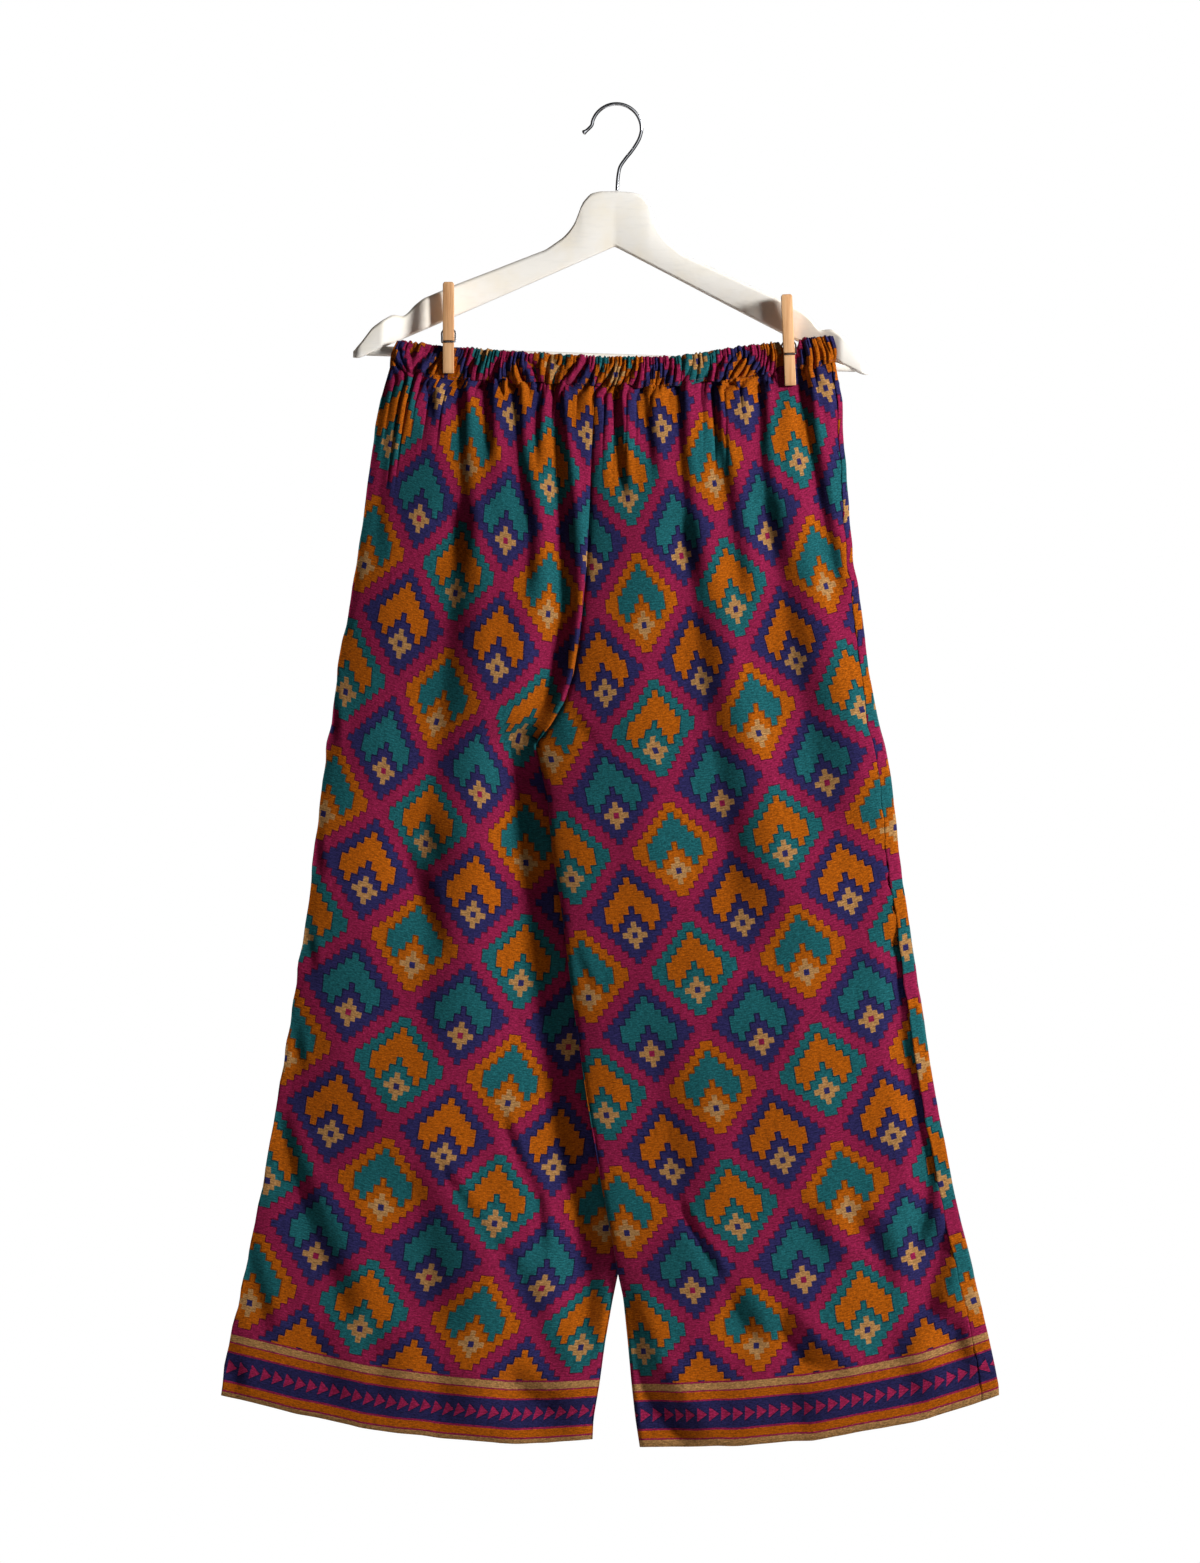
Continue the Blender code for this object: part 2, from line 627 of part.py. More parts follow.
def build_peg_spring(name, frame):
    """A coil between the legs, whose two ends reach round the sides into the legs' outer grooves."""
    groove = PEG_HALF_GAP - PEG_SPLAY * PEG_GROOVE + LEG_THICKNESS - SPRING_WIRE_RADIUS - 0.2
    beside = PEG_WIDTH / 2 + SEAM_GAP + SPRING_WIRE_RADIUS
    front_arm = (
        (-PEG_WIDTH / 2 + 0.6, -groove, PEG_GROOVE),
        (PEG_WIDTH / 2 - 0.2, -groove, PEG_GROOVE),
        (beside - 0.2, -groove + 0.3, PEG_GROOVE + 0.2),
        (beside, -groove + 1.6, PEG_GROOVE + 1.1),
        (beside, -COIL_RADIUS - 3.6, -6.4),
        (beside, -COIL_RADIUS - 1.0, -3.2),
        (beside - 1.3, -COIL_RADIUS - 0.2, -1.2),
    )
    steps = int(COIL_TURNS * COIL_STEPS)
    coil = []
    for step in range(1, steps):
        angle = math.pi / 2 + 2 * math.pi * COIL_TURNS * step / steps
        across = mix(COIL_HALF_WIDTH, -COIL_HALF_WIDTH, step / steps)
        coil.append((across, -COIL_RADIUS * math.sin(angle), -COIL_RADIUS * math.cos(angle)))
    back_arm = [(-x, -y, z) for x, y, z in reversed(front_arm)]
    points = [frame @ Vector(point) for point in (*front_arm, *coil, *back_arm)]
    return wire(name, points, SPRING_WIRE_RADIUS, (0.45, 0.45, 0.45), resolution=1)


# ---------------------------------------------------------------- shared


def material(name, colour, roughness, metallic=0.0):
    made = bpy.data.materials.new(name)
    made.use_nodes = True
    shader = made.node_tree.nodes["Principled BSDF"]
    shader.inputs["Base Color"].default_value = (*colour, 1)
    shader.inputs["Roughness"].default_value = roughness
    shader.inputs["Metallic"].default_value = metallic
    made.diffuse_color = (*colour, 1)
    return made


def finish_mesh(name, mesh, colour, roughness):
    bmesh.ops.recalc_face_normals(mesh, faces=mesh.faces)
    if mesh.calc_volume(signed=True) < 0:
        bmesh.ops.reverse_faces(mesh, faces=mesh.faces)
    data = bpy.data.meshes.new(name)
    mesh.to_mesh(data)
    mesh.free()
    data.shade_smooth()
    data.set_sharp_from_angle(angle=math.radians(50))
    data.materials.append(material(name, colour, roughness))
    made = bpy.data.objects.new(name, data)
    bpy.context.collection.objects.link(made)
    return made


def main():
    for old in list(bpy.data.objects):
        bpy.data.objects.remove(old)
    build_panel("front_leg_left", -1, -1, (0.42, 0.05, 0.16))
    build_panel("front_leg_right", 1, -1, (0.40, 0.06, 0.18))
    build_panel("back_leg_left", -1, 1, (0.34, 0.05, 0.14))
    build_panel("back_leg_right", 1, 1, (0.36, 0.05, 0.15))
    build_casing("waist_casing_front", -1, (0.45, 0.16, 0.06))
    build_casing("waist_casing_back", 1, (0.40, 0.14, 0.06))
    build_hanger_body()
    build_bar()
    build_hook()
    for name, x, pivot_drop, lean in PEGS:
        frame = peg_frame(x, pivot_drop, lean)
        bar_below = bar_drop(x) - pivot_drop
        build_peg_leg(f"{name}_front_leg", frame, -1, bar_below)
        build_peg_leg(f"{name}_back_leg", frame, 1, bar_below)
        build_peg_spring(f"{name}_spring", frame)


main()
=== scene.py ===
"""Palazzo pants pegged by the waist to a wooden clothes hanger: the model that is looked at.

Metres, +Z up, -Y towards the viewer, +X to the viewer's right. The origin is the inner top of the
hook. Tables are in millimetres; a "drop" is a distance below the origin, and left and right are the
viewer's.
"""

import math

import bmesh
import bpy
import numpy as np
from mathutils import Matrix, Vector


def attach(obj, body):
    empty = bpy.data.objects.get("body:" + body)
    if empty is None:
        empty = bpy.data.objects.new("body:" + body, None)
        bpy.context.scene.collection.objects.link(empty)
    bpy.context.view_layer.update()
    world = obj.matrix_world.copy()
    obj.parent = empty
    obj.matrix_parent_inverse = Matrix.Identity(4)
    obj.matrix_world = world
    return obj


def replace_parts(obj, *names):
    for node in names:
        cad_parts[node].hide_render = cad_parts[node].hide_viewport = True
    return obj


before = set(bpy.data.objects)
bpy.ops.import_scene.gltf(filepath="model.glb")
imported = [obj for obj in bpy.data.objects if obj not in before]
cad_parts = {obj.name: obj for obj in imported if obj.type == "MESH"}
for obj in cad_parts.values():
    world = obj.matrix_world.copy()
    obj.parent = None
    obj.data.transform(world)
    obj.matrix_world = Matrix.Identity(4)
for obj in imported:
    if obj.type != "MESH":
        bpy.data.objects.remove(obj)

bl_info = {
    "name": "Palazzo pants on a hanger",
    "version": (1, 0, 0),
    "blender": (4, 5, 0),
    "location": "3D View > Sidebar > Pants",
    "description": "Sews printed palazzo pants and pegs them to a wooden clothes hanger",
    "category": "Add Mesh",
}

MM = 0.001
FRONT, BACK = -1, 1
LEFT, RIGHT = -1, 1

# ---------------------------------------------------------------- the garment's measures

CLOTH_PLANE = -33.0
TIP_SHARPNESS, FLAT_FRONT, EDGE_FORWARD = 0.5, 1.0, 7.0  # the last two for the left leg
WAIST_FRONT, WAIST_BACK, WAIST_BACK_HELD = -33.4, -32.8, -30.6  # y of the cloth, free and pegged
WAIST_BOW, BOW_HALF = 8.0, 143.0
WAIST_TIP_LIFT, TIP_LIFT_LENGTH = 2.2, 18.0
CROTCH_DROP = 545.0
INNER_REACH = 2.4
WAIST_TO_LEG = 55.0
WAIST_TIP = 0.012
WAIST_HALF = 188.0
CENTRE_SEAM_X = -18.5
LEG_WALL, CASING_WALL = 1.2, 2.0  # thickness of the solids, which the pegs' jaws clear
SEAM_GAP = 0.3
CASING_REACH, CASING_SWELL, TOP_SCALLOP = 1.0, 1.2, 2.4
CASING_COLUMNS, CASING_ROWS, STITCH_ROW = 800, 36, 2
SEAM_LAP = 1.6  # the casing's lower edge reaches this far past the tops of the legs
OUTER_SHARE = 0.66  # of the casing's rows, those on its outer face
# Place of each side seam on its leg's loop, at the waist, at the hip and at the hem.
SIDE_SEAM = {LEFT: (0.0, 0.0, 0.0), RIGHT: (-0.015, -0.032, -0.046)}
SIDE_SEAM_AT = (0.0, 0.35, 1.0)

EDGES = (
    # drop, left side, left inner, right inner, right side
    (196, -185, -18.5, -18.5, 183.6),
    (220, -191, -18.5, -18.5, 186),
    (240, -197, -18.3, -18.3, 189),
    (252, -200.2, -18.9, -18.9, 191.7),
    (295, -207.5, -20.9, -20.9, 193.8),
    (346, -214.4, -22.5, -22.5, 197.5),
    (393, -221.2, -25.1, -25.1, 202.2),
    (425, -226.5, -28.1, -28.1, 207.5),
    (453, -231.6, -31, -31, 211.2),
    (484, -236.7, -36.1, -36.1, 215),
    (508, -240.1, -43.8, -43.8, 219.7),
    (527, -242.7, -54.8, -54.8, 223.2),
    (545, -245.7, -68.4, -68.4, 227.2),
    (566, -248.5, -62.4, -63.8, 231),
    (590, -251, -52.8, -58.6, 234.6),
    (634, -256.4, -44.8, -54.8, 239.7),
    (677, -261.6, -35.3, -47.6, 245.7),
    (762, -274.1, -20.8, -37, 258),
    (847, -287.7, -8.9, -25, 271.6),
    (932, -302.4, 2.1, -10.2, 288.6),
    (962, -309, 2.5, -4.3, 295.8),
    (992, -315.6, 1.7, 1, 303),
    (1015, -320.5, -3.2, 6, 308.6),
    (1052, -328.5, -9.8, 9.8, 318),
    (1088, -334.8, -14.6, 13, 324.4),
    (1118, -336.6, -19.7, 16.3, 326.4),
    (1142, -336.6, -20.8, 20, 326.4),
)
DEPTHS = (
    # drop, front seam, back seam, left inseam, right inseam, front bulge, back bulge
    (196, -38, -32.8, -33, -33, 0, 0),
    (239, -40, -31.5, -33, -33, 2.5, 1.5),
    (262, -42, -28.5, -33, -33, 7.5, 5.5),
    (300, -43.5, -26, -33, -33, 11, 9),
    (400, -44, -24, -33, -33, 14, 12.5),
    (484, -42.5, -25, -33, -33, 14.5, 13.5),
    (508, -40.5, -27, -33, -33, 15, 14),
    (527, -37.5, -29.5, -33, -33, 15.5, 14.5),
    (545, -33, -33, -33, -33, 16, 15),
    (566, -33, -33, -29, -37, 16, 15),
    (590, -33, -33, -26, -40, 16, 15),
    (800, -33, -33, -26, -40, 15, 15),
    (962, -33, -33, -27, -39, 14, 14),
    (1015, -33, -33, -30, -36, 13.5, 13.5),
    (1142, -33, -33, -32, -34, 13, 13),
)
WAIST = (
    # x, top drop, seam drop
    (-190, 200.6, 223.5),
    (-140, 206.4, 231.6),
    (-70, 212, 236),
    (-8, 215.5, 239),
    (50, 215, 238.5),
    (100, 207.2, 233),
    (139, 202.4, 227),
    (154, 200, 224.8),
    (187, 196.8, 219),
)
HEM = (
    # share across, left drop, right drop
    (0, 1097, 1097),
    (0.08, 1103.2, 1105.6),
    (0.2, 1112.7, 1116.8),
    (0.37, 1124.1, 1127.6),
    (0.52, 1131, 1135),
    (0.75, 1137.7, 1140.4),
    (0.87, 1137.7, 1141.6),
    (1, 1135.6, 1142),
)
# Folds and creases of each panel, each a trough with one steep wall and a low ridge beyond it. In
# a row stand the width and depth where it starts and where it ends, then the (x, drop) points that
# run along the middle of the steep wall, which rises to the right of a fold that runs down.
FOLDS = {
    (LEFT, FRONT): (
        (3, 5, 8, 2.5, (-132, 205), (-130, 299), (-128, 356), (-133, 410)),
        (9, 5, 28, 13, (-128, 330), (-139, 480), (-150, 600), (-158, 720)),
        (18, 8, 24, 8, (-156, 590), (-152, 700), (-158, 860)),
        (28, 10, 34, 11, (-86, 480), (-86, 580), (-78, 690), (-55, 850), (-38, 1000)),
        (3, 5, 5, 4, (-109, 208), (-108, 270), (-107, 320)),
        (3, 4, 8, 5, (-87, 208), (-81, 299), (-71, 363), (-74, 440)),
        (3, 4.5, 4, 3, (-61, 208), (-67, 280), (-66, 320)),
        (2.6, 4, 11, 15, (-52, 206), (-47, 280), (-42, 340), (-38, 427), (-50, 500), (-72, 560)),
        (4, 1.6, 6, 1.2, (-183, 208), (-190, 260), (-199, 330), (-203, 400)),
        (4, 4, 5, 3, (-160, 214), (-152, 290)),
        (7, 3.2, 11, 4, (-184, 618), (-166, 661), (-148, 704), (-132, 745)),
        (5, 4.5, 15, 7, (-290, 840), (-272, 903), (-250, 960), (-226, 1020), (-205, 1075)),
        (18, 6, 26, 11, (-172, 880), (-150, 988), (-132, 1085)),
        (3, 3, 3.4, 3.4, (-156, 890), (-112, 953), (-64, 1010)),
        (3.4, 3.4, 5, 4, (-98, 852), (-80, 896), (-63, 928), (-58, 990)),
        (12, 6, 15, 8, (-82, 985), (-60, 1040), (-40, 1100)),
        (4, 3, 3, 2, (-14, 1025), (-36, 1060)),
        (13, 14, 13, 14, (-70, 518), (-54, 690), (-33, 850), (-14, 960), (-16, 1090)),
        (9, 9, 10, 9, (-100, 1070), (-62, 1098), (-26, 1118)),
        (4, 3, 4, 3, (-246, 470), (-240, 520), (-238, 560)),
        (4, 3, 4, 3, (-256, 610), (-249, 665)),
        (4, 3, 4, 3, (-264, 690), (-254, 745)),
        (4, 3, 4, 3, (-277, 770), (-263, 825)),
        (6, 5, 7, 4, (-318, 960), (-302, 1010), (-290, 1060)),
        (16, 6, 18, 7, (-262, 1020), (-240, 1070), (-226, 1130)),
        (14, 5, 16, 6, (-206, 1020), (-198, 1070), (-192, 1130)),
        (14, 5, 16, 6, (-150, 1060), (-144, 1090), (-140, 1140)),
        (6, 6, 8, 7, (-330, 1062), (-322, 1080), (-318, 1098)),
    ),
    (RIGHT, FRONT): (
        (3, 5, 4, 4, (1, 208), (3, 285), (9, 345)),
        (3, 4, 5, 3, (21, 208), (30, 292), (33, 330)),
        (2.8, 4.5, 7, 2.5, (54, 205), (56, 292), (62, 363), (68, 420)),
        (8, 4.5, 26, 12, (60, 340), (78, 480), (93, 560), (106, 640), (116, 740)),
        (3, 4, 9, 5, (80, 206), (90, 299), (101, 356), (114, 440)),
        (3, 5, 7, 2.5, (123, 205), (125, 299), (133, 363), (143, 410)),
        (8, 4.5, 26, 12, (131, 320), (159, 477), (176, 540), (194, 650)),
        (4, 6, 6, 5, (156, 198), (165, 278), (176, 335), (190, 399), (198, 440)),
        (5, 6, 6, 8, (240, 690), (246, 782), (257, 846), (270, 903), (266, 950), (246, 1000)),
        (9, 9, 9, 9, (134, 1020), (168, 1064), (212, 1082)),
        (9, 8, 11, 9, (288, 950), (268, 1025), (237, 1056), (190, 1084)),
        (11, 5, 11, 6, (158, 925), (178, 972), (216, 998)),
        (10, 6, 11, 8, (196, 930), (228, 972), (240, 1020)),
        (8, 6, 9, 7, (262, 1010), (292, 1040), (306, 1090)),
        (3, 3.2, 3.4, 3.4, (50, 924), (72, 963), (99, 1008)),
        (8, 6, 10, 7, (92, 1000), (134, 1066)),
        (14, 5, 16, 6, (140, 1060), (158, 1100), (166, 1140)),
        (14, 6, 14, 8, (236, 1040), (252, 1080), (262, 1120)),
        (20, 5, 22, 6, (40, 760), (52, 880), (70, 980)),
        (12, 11, 11, 12, (-2, 1000), (20, 1070), (46, 1108), (90, 1160)),
        (3, 2, 3, 2, (9, 1029), (40, 1050)),
        (3, 2.5, 3, 2, (-40, 512), (-12, 550)),
        (4, 2.5, 4, 2, (-38, 712), (-15, 758)),
        (2.2, 2.6, 2.2, 2.2, (205, 556), (236, 566)),
        (2.2, 2.4, 2.2, 2.2, (211, 650), (246, 664)),
        (2.4, 2.6, 2.2, 2.2, (248, 680), (215, 694)),
        (2.2, 2.6, 2.2, 2.2, (254, 713), (218, 724)),
    ),
    (LEFT, BACK): (
        (5, 8, 12, 7, (-150, 212), (-146, 300), (-150, 380), (-160, 470)),
        (4, 5, 6, 4, (-122, 214), (-118, 280), (-116, 330)),
        (5, 9, 13, 7, (-92, 214), (-90, 300), (-98, 400), (-112, 520), (-118, 620)),
        (4, 5, 6, 4, (-62, 216), (-60, 290), (-54, 350)),
        (5, 7, 10, 6, (-40, 216), (-38, 300), (-42, 400), (-54, 480)),
        (12, 5, 13, 4, (-150, 560), (-158, 680), (-150, 780), (-162, 880)),
        (8, 5, 11, 6, (-285, 850), (-262, 930), (-236, 1010), (-215, 1070)),
        (3, 2, 3, 2, (-90, 900), (-120, 940), (-150, 985)),
        (7, 4, 6, 3, (-70, 565), (-95, 590), (-130, 620)),
        (9, 4, 9, 4, (-120, 930), (-108, 1010), (-100, 1090)),
    ),
    (RIGHT, BACK): (
        (4, 5, 6, 4, (6, 218), (4, 290), (10, 350)),
        (5, 9, 13, 7, (34, 214), (38, 300), (48, 400), (62, 500), (66, 600)),
        (4, 5, 6, 4, (66, 216), (72, 290), (74, 340)),
        (5, 8, 12, 7, (104, 212), (106, 300), (116, 400), (132, 500)),
        (4, 6, 7, 4, (140, 210), (150, 290), (160, 370)),
        (12, 5, 13, 4, (120, 560), (136, 680), (140, 800), (152, 900)),
        (7, 5, 6, 4, (150, 1030), (186, 1066), (224, 1056), (262, 1020), (282, 980)),
        (3, 2, 3, 2, (120, 905), (92, 940), (60, 980)),
        (7, 4, 6, 3, (-50, 560), (-20, 590), (15, 615)),
        (9, 4, 9, 5, (20, 960), (36, 1040), (50, 1120)),
    ),
}
FOLD_SLOPE, FOLD_RIDGE = 2.2, 0.35  # how much wider the gentle wall is, and how high the ridge
FOLD_END_SHARE = 0.4  # the longest part of a fold that either end may fade over
WAIST_PUFF = 4.0  # how far the cloth swells below the casing
# How the print lies on a leg: where a thread of the warp is counted across the cloth, at the side
# and at the inner edge, and how far down.
WARP = {
    # share down, at the side, at the inner edge
    LEFT: (
        (0.0, -275, 10),
        (0.12, -255, 2.5),
        (0.25, -248, -13),
        (0.345, -256, -28),
        (0.5, -240, -1.5),
        (0.75, -243.5, 57.5),
        (1.0, -256.5, 76.5),
    ),
    RIGHT: (
        (0.0, 310, 24),
        (0.12, 287.5, 4.5),
        (0.25, 267, -22.5),
        (0.345, 249.5, -61),
        (0.5, 238, -64),
        (0.75, 230, -64),
        (1.0, 241.5, -61.5),
    ),
}
# Length of the print at the side, what it gains inwards, and its slack at the waist.
WEFT = {LEFT: (868.5, 32, 28), RIGHT: (890.5, 21, 55)}
WEFT_CURVE = 4.5
WEFT_WAVE = {LEFT: (2.0, 0.75), RIGHT: (2.2, 0.45)}  # unevenness down the leg, and where it peaks
WAIST_SLACK_SHARE = 0.35
CELL_WIDTH, REPEAT, DIAMOND_STEPS = 5.4, 18, 7  # one step of the print in mm, then in cells
PRINT_SHIFT = {LEFT: 0, RIGHT: REPEAT * CELL_WIDTH}
OUTLINE, EDGE_LINE = 0.2, 0.13  # width of the dark line round each leaf and diamond, in cells
PRINT, CLOTH_UV = "stepped_diamond_print", "cloth"
PRINT_COLOURS = "magenta", "navy", "teal", "orange", "beige"
BORDER = (
    # height in mm and colour, from the top down
    (1.3, "magenta"),
    (6.0, "beige"),
    (1.3, "magenta"),
    (6.8, "orange"),
    (1.4, "magenta"),
    (23.3, "navy"),
    (1.7, "magenta"),
    (6.5, "orange"),
    (1.3, "magenta"),
    (12.0, "beige"),
)
BORDER_HEIGHT = 53.6  # what shows of it on the outside
BORDER_PAINTED_SHADE = 0.9, 0.72  # how much darker the border is painted, as painted shade for the dimmer light near the hem; its navy, darker still, last
TRIANGLE_PITCH, TRIANGLE_HALF_HEIGHT, TRIANGLE_LENGTH, TRIANGLE_LEAN = 10.1, 6.5, 9.0, 0.12

# Pleats of the gathered waist
FINE_PITCH, FINE_RELIEF, FINE_LENGTHS = 6.2, 4.2, (5.0, 22.0)
FINE_WANDER = ((0.9, 19.0, 0.4), (0.4, 7.3, 1.9))
BROAD_PITCH, BROAD_RELIEF, BROAD_LENGTHS = 13.0, 7.0, (22.0, 135.0)
CRINKLE_PITCH, CRINKLE_RELIEF = 3.6, 3.0  # along the casing's top edge
ELASTIC_TOP = 0.76  # where the elastic ends, as a share of the casing's height
PINCH = 0.75  # how much of a pleat's depth is left in the seam under the casing
PINCH_FADE = 5.0
SEAM_WANDER = 1.8, 9, 14.0  # reach, size and how far above and below the seam it fades
SEAM_DENT, SEAM_DENT_WIDTH = 0.35, 1.2
BROAD_WANDER = ((0.7, 31.0, 1.4), (0.3, 13.0, 0.3))
SEAM_ROLL, SEAM_ROLL_WIDTH = 0.9, 2.6
HEM_TURN, HEM_STEP = 13.0, 0.45
# Height and size of the soft unevenness: of the legs, of the cloth, of the hem and of its edge.
WAVE, CRUMPLE, HEM_WAVE, HEM_RIPPLE = (1.5, 40), (0.28, 11), (2.2, 48), (0.8, 21)
EDGE_CRUMPLE = 1.1, 17  # of the outline

# Hanger, in its own upright frame; the whole of it hangs a little clockwise.
HANGER_TILT = math.radians(1.9)
NECK_TOP_DROP = 73.0
HANGER_THICKNESS = 12.0
TIP_FORWARD, TIP_FORWARD_FROM, WING_CURVE = -25.0, 195.0, 3.6
SECTION_CORNER = 3.4
WINGS = (
    # x, top drop, bottom drop
    (0, 73, 120.2),
    (14, 73.6, 126.9),
    (22, 75.8, 130.8),
    (29, 84, 134.1),
    (31.5, 92, 135.3),
    (34, 100.1, 136.5),
    (38.5, 107.5, 138.7),
    (44.2, 114.1, 141.4),
    (58.5, 124.8, 148.3),
    (80, 134, 158.7),
    (105, 144.8, 170.7),
    (133.7, 157.1, 184.5),
    (161.4, 170.3, 197.8),
    (168.8, 176.6, 201.3),
    (174, 183.4, 203.8),
    (178, 186.4, 205.8),
    (182.5, 185.4, 207.9),
    (187, 185.2, 210.1),
    (195, 190, 214),
    (203.8, 196.8, 218.2),
    (212.3, 209, 222.4),
    (217, 214.6, 223.4),
    (219.2, 218.2, 222.6),
)
BAR_RADIUS, BAR_HALF_LENGTH, BAR_DROP = 4.3, 208.0, 216.6
WIRE_RADIUS, HOOK_RADIUS = 1.5, 21.3
HOOK_FLARE = 0.7  # at the cut end of the wire
HOOK_TIP = ((-28.6, -23.6), (-24.6, -20.6))
HOOK_NECK = ((18.9, -29.5), (13.6, -38.0), (7.6, -45.5), (3.2, -52.2), (1.6, -59.0), (0.9, -66.0))
ARC_START, ARC_END, ARC_STEPS = math.radians(172), math.radians(-8), 16

# Pegs, each about the pivot of its spring.
PEG_WIDTH, PEG_BELOW, PEG_ABOVE = 9.5, 38.0, 39.8
PEG_GROOVE, LEG_THICKNESS = -11.2, 6.0
PEG_PLANE, PEG_HALF_GAP, PEG_SPLAY = -29.0, 5.3, 0.043
SPRING_WIRE_RADIUS, COIL_RADIUS, COIL_TURNS, COIL_HALF_WIDTH = 0.75, 3.6, 3.5, 3.1
PEGS = (
    # name, x, drop of the pivot, lean of the top to the left
    ("peg_left", -142.8, 191.2, 0.0),
    ("peg_right", 146.2, 201.7, math.radians(2.4)),
)
PRESS_REACH = 16.0, 45.0  # how far a peg presses the cloth, beside and below
LOOSE_REACH = 9.5, 24.0  # the same, for the pleats
NOTCH_REACH, NOTCH_MARGIN = 8.0, 1.2

EDGE_DROP, LEFT_SIDE, LEFT_INNER, RIGHT_INNER, RIGHT_SIDE = np.array(EDGES, float).T
DEPTH_DROP, FRONT_SEAM, BACK_SEAM, LEFT_INSEAM, RIGHT_INSEAM, FRONT_BULGE, BACK_BULGE = np.array(
    DEPTHS, float
).T
WAIST_X, WAIST_TOP, WAIST_SEAM = np.array(WAIST, float).T
HEM_SHARE, LEFT_HEM, RIGHT_HEM = np.array(HEM, float).T

# Stage, in metres: lights with their place, size and share of the key light's power.
LIGHTS = (
    ("key_light", (1.93, -1.24, 0.276), 0.5, 1.0),
    ("fill_light", (-2.2, -2.6, -0.9), 2.0, 0.018),
    ("rim_light", (1.6, 2.2, 0.6), 1.0, 0.55),
)
CAMERA_AIM, CAMERA_DISTANCE = (-0.014, -0.030, -0.576), 12.0
FRAME_HEIGHT, SENSOR = 1.3286, 36.0  # of the view at the garment, and of the film in mm
FLOOR_RADIUS = 1.1
WARM = (1.0, 0.88, 0.8)
PANEL_HEADING = (0.5, -0.85, 0.15)  # towards the bright panel that metal reflects


def mix(first, second, share):
    return first + (second - first) * share


def smooth(value):
    value = np.clip(value, 0.0, 1.0)
    return value * value * (3 - 2 * value)


def linear(*colour):
    """The shader's value for a colour read off a screen, 0 to 255."""
    return tuple(((c / 255 + 0.055) / 1.055) ** 2.4 if c > 10 else c / 255 / 12.92 for c in colour)


# ---------------------------------------------------------------- settings


def colour_property(name, description, colour):
    return bpy.props.FloatVectorProperty(
        name=name, description=description, subtype="COLOR", size=3, min=0.0, max=1.0,
        default=linear(*colour),
    )


def length_property(name, description, millimetres):
    return bpy.props.FloatProperty(
        name=name, description=description, subtype="DISTANCE", unit="LENGTH", min=0.0,
        default=millimetres * MM,
    )


class ClothSettings(bpy.types.PropertyGroup):
    """The printed cloth."""

    cell_width: length_property("Cell width", "Width of one step of the print", CELL_WIDTH)
    cell_height: length_property("Cell height", "Height of one step of the print", 5.7)
    thickness: length_property("Cloth thickness", "Thickness of the cloth", 0.6)
    magenta: colour_property("Magenta", "Ground between the diamonds", (128, 25, 62))
    navy: colour_property("Navy", "Dark diamonds and the border's band", (39, 36, 80))
    teal: colour_property("Teal", "Blue-green diamonds", (24, 85, 90))
    orange: colour_property("Orange", "Orange diamonds and the border's lines", (156, 78, 6))
    beige: colour_property("Beige", "Small flowers and the border's edges", (156, 115, 69))


class HangerSettings(bpy.types.PropertyGroup):
    """The hanger."""

    lacquer: colour_property("Lacquer", "Cream lacquer of the body and the bar", (253, 249, 241))
    wire: colour_property("Hook wire", "Chromed wire", (205, 207, 212))


class PegSettings(bpy.types.PropertyGroup):
    """The two clothes pegs."""

    wood: colour_property("Peg wood", "Light wood of the pegs", (228, 178, 128))
    grain: colour_property("Peg grain", "Darker grain of the pegs", (196, 134, 84))
    spring: colour_property("Spring wire", "Steel of the springs", (140, 142, 148))
    edge_round: length_property("Edge rounding", "Radius worn on the pegs' edges", 0.5)


class StageSettings(bpy.types.PropertyGroup):
    """Floor, light and camera."""

    key_power: bpy.props.FloatProperty(
        name="Key light", description="Power of the soft key light", unit="POWER", default=86.0
    )
    sky: bpy.props.FloatProperty(
        name="Room light", description="Strength of the light all round", default=0.038
    )
    wall: bpy.props.FloatProperty(
        name="Wall light", description="Strength of the light from behind", default=0.6
    )
    floor_drop: length_property("Floor drop", "How far the floor is below the hook", 1500)


SETTINGS = {
    "pants_cloth": ClothSettings,
    "pants_hanger": HangerSettings,
    "pants_pegs": PegSettings,
    "pants_stage": StageSettings,
}

# ---------------------------------------------------------------- materials


def reckon(operation):
    """A method of Value that works out a sum with a math node."""
    return lambda *values: values[0].tree.math(operation, *values)


class Value:
    """A number, colour or vector in a node tree, to reckon with like a plain number."""

    __add__, __sub__, __mul__, __truediv__ = map(reckon, ("ADD", "SUBTRACT", "MULTIPLY", "DIVIDE"))
    __mod__, __lt__, __gt__ = map(reckon, ("FLOORED_MODULO", "LESS_THAN", "GREATER_THAN"))
    __abs__, __floor__, least, most = map(reckon, ("ABSOLUTE", "FLOOR", "MINIMUM", "MAXIMUM"))
    # Tests give 1 or 0, which & and | join.
    __and__, __or__ = map(reckon, ("MULTIPLY", "MAXIMUM"))

    def __init__(self, tree, socket):
        self.tree, self.socket = tree, socket

    def __rsub__(self, number):
        return self.tree.math("SUBTRACT", number, self)


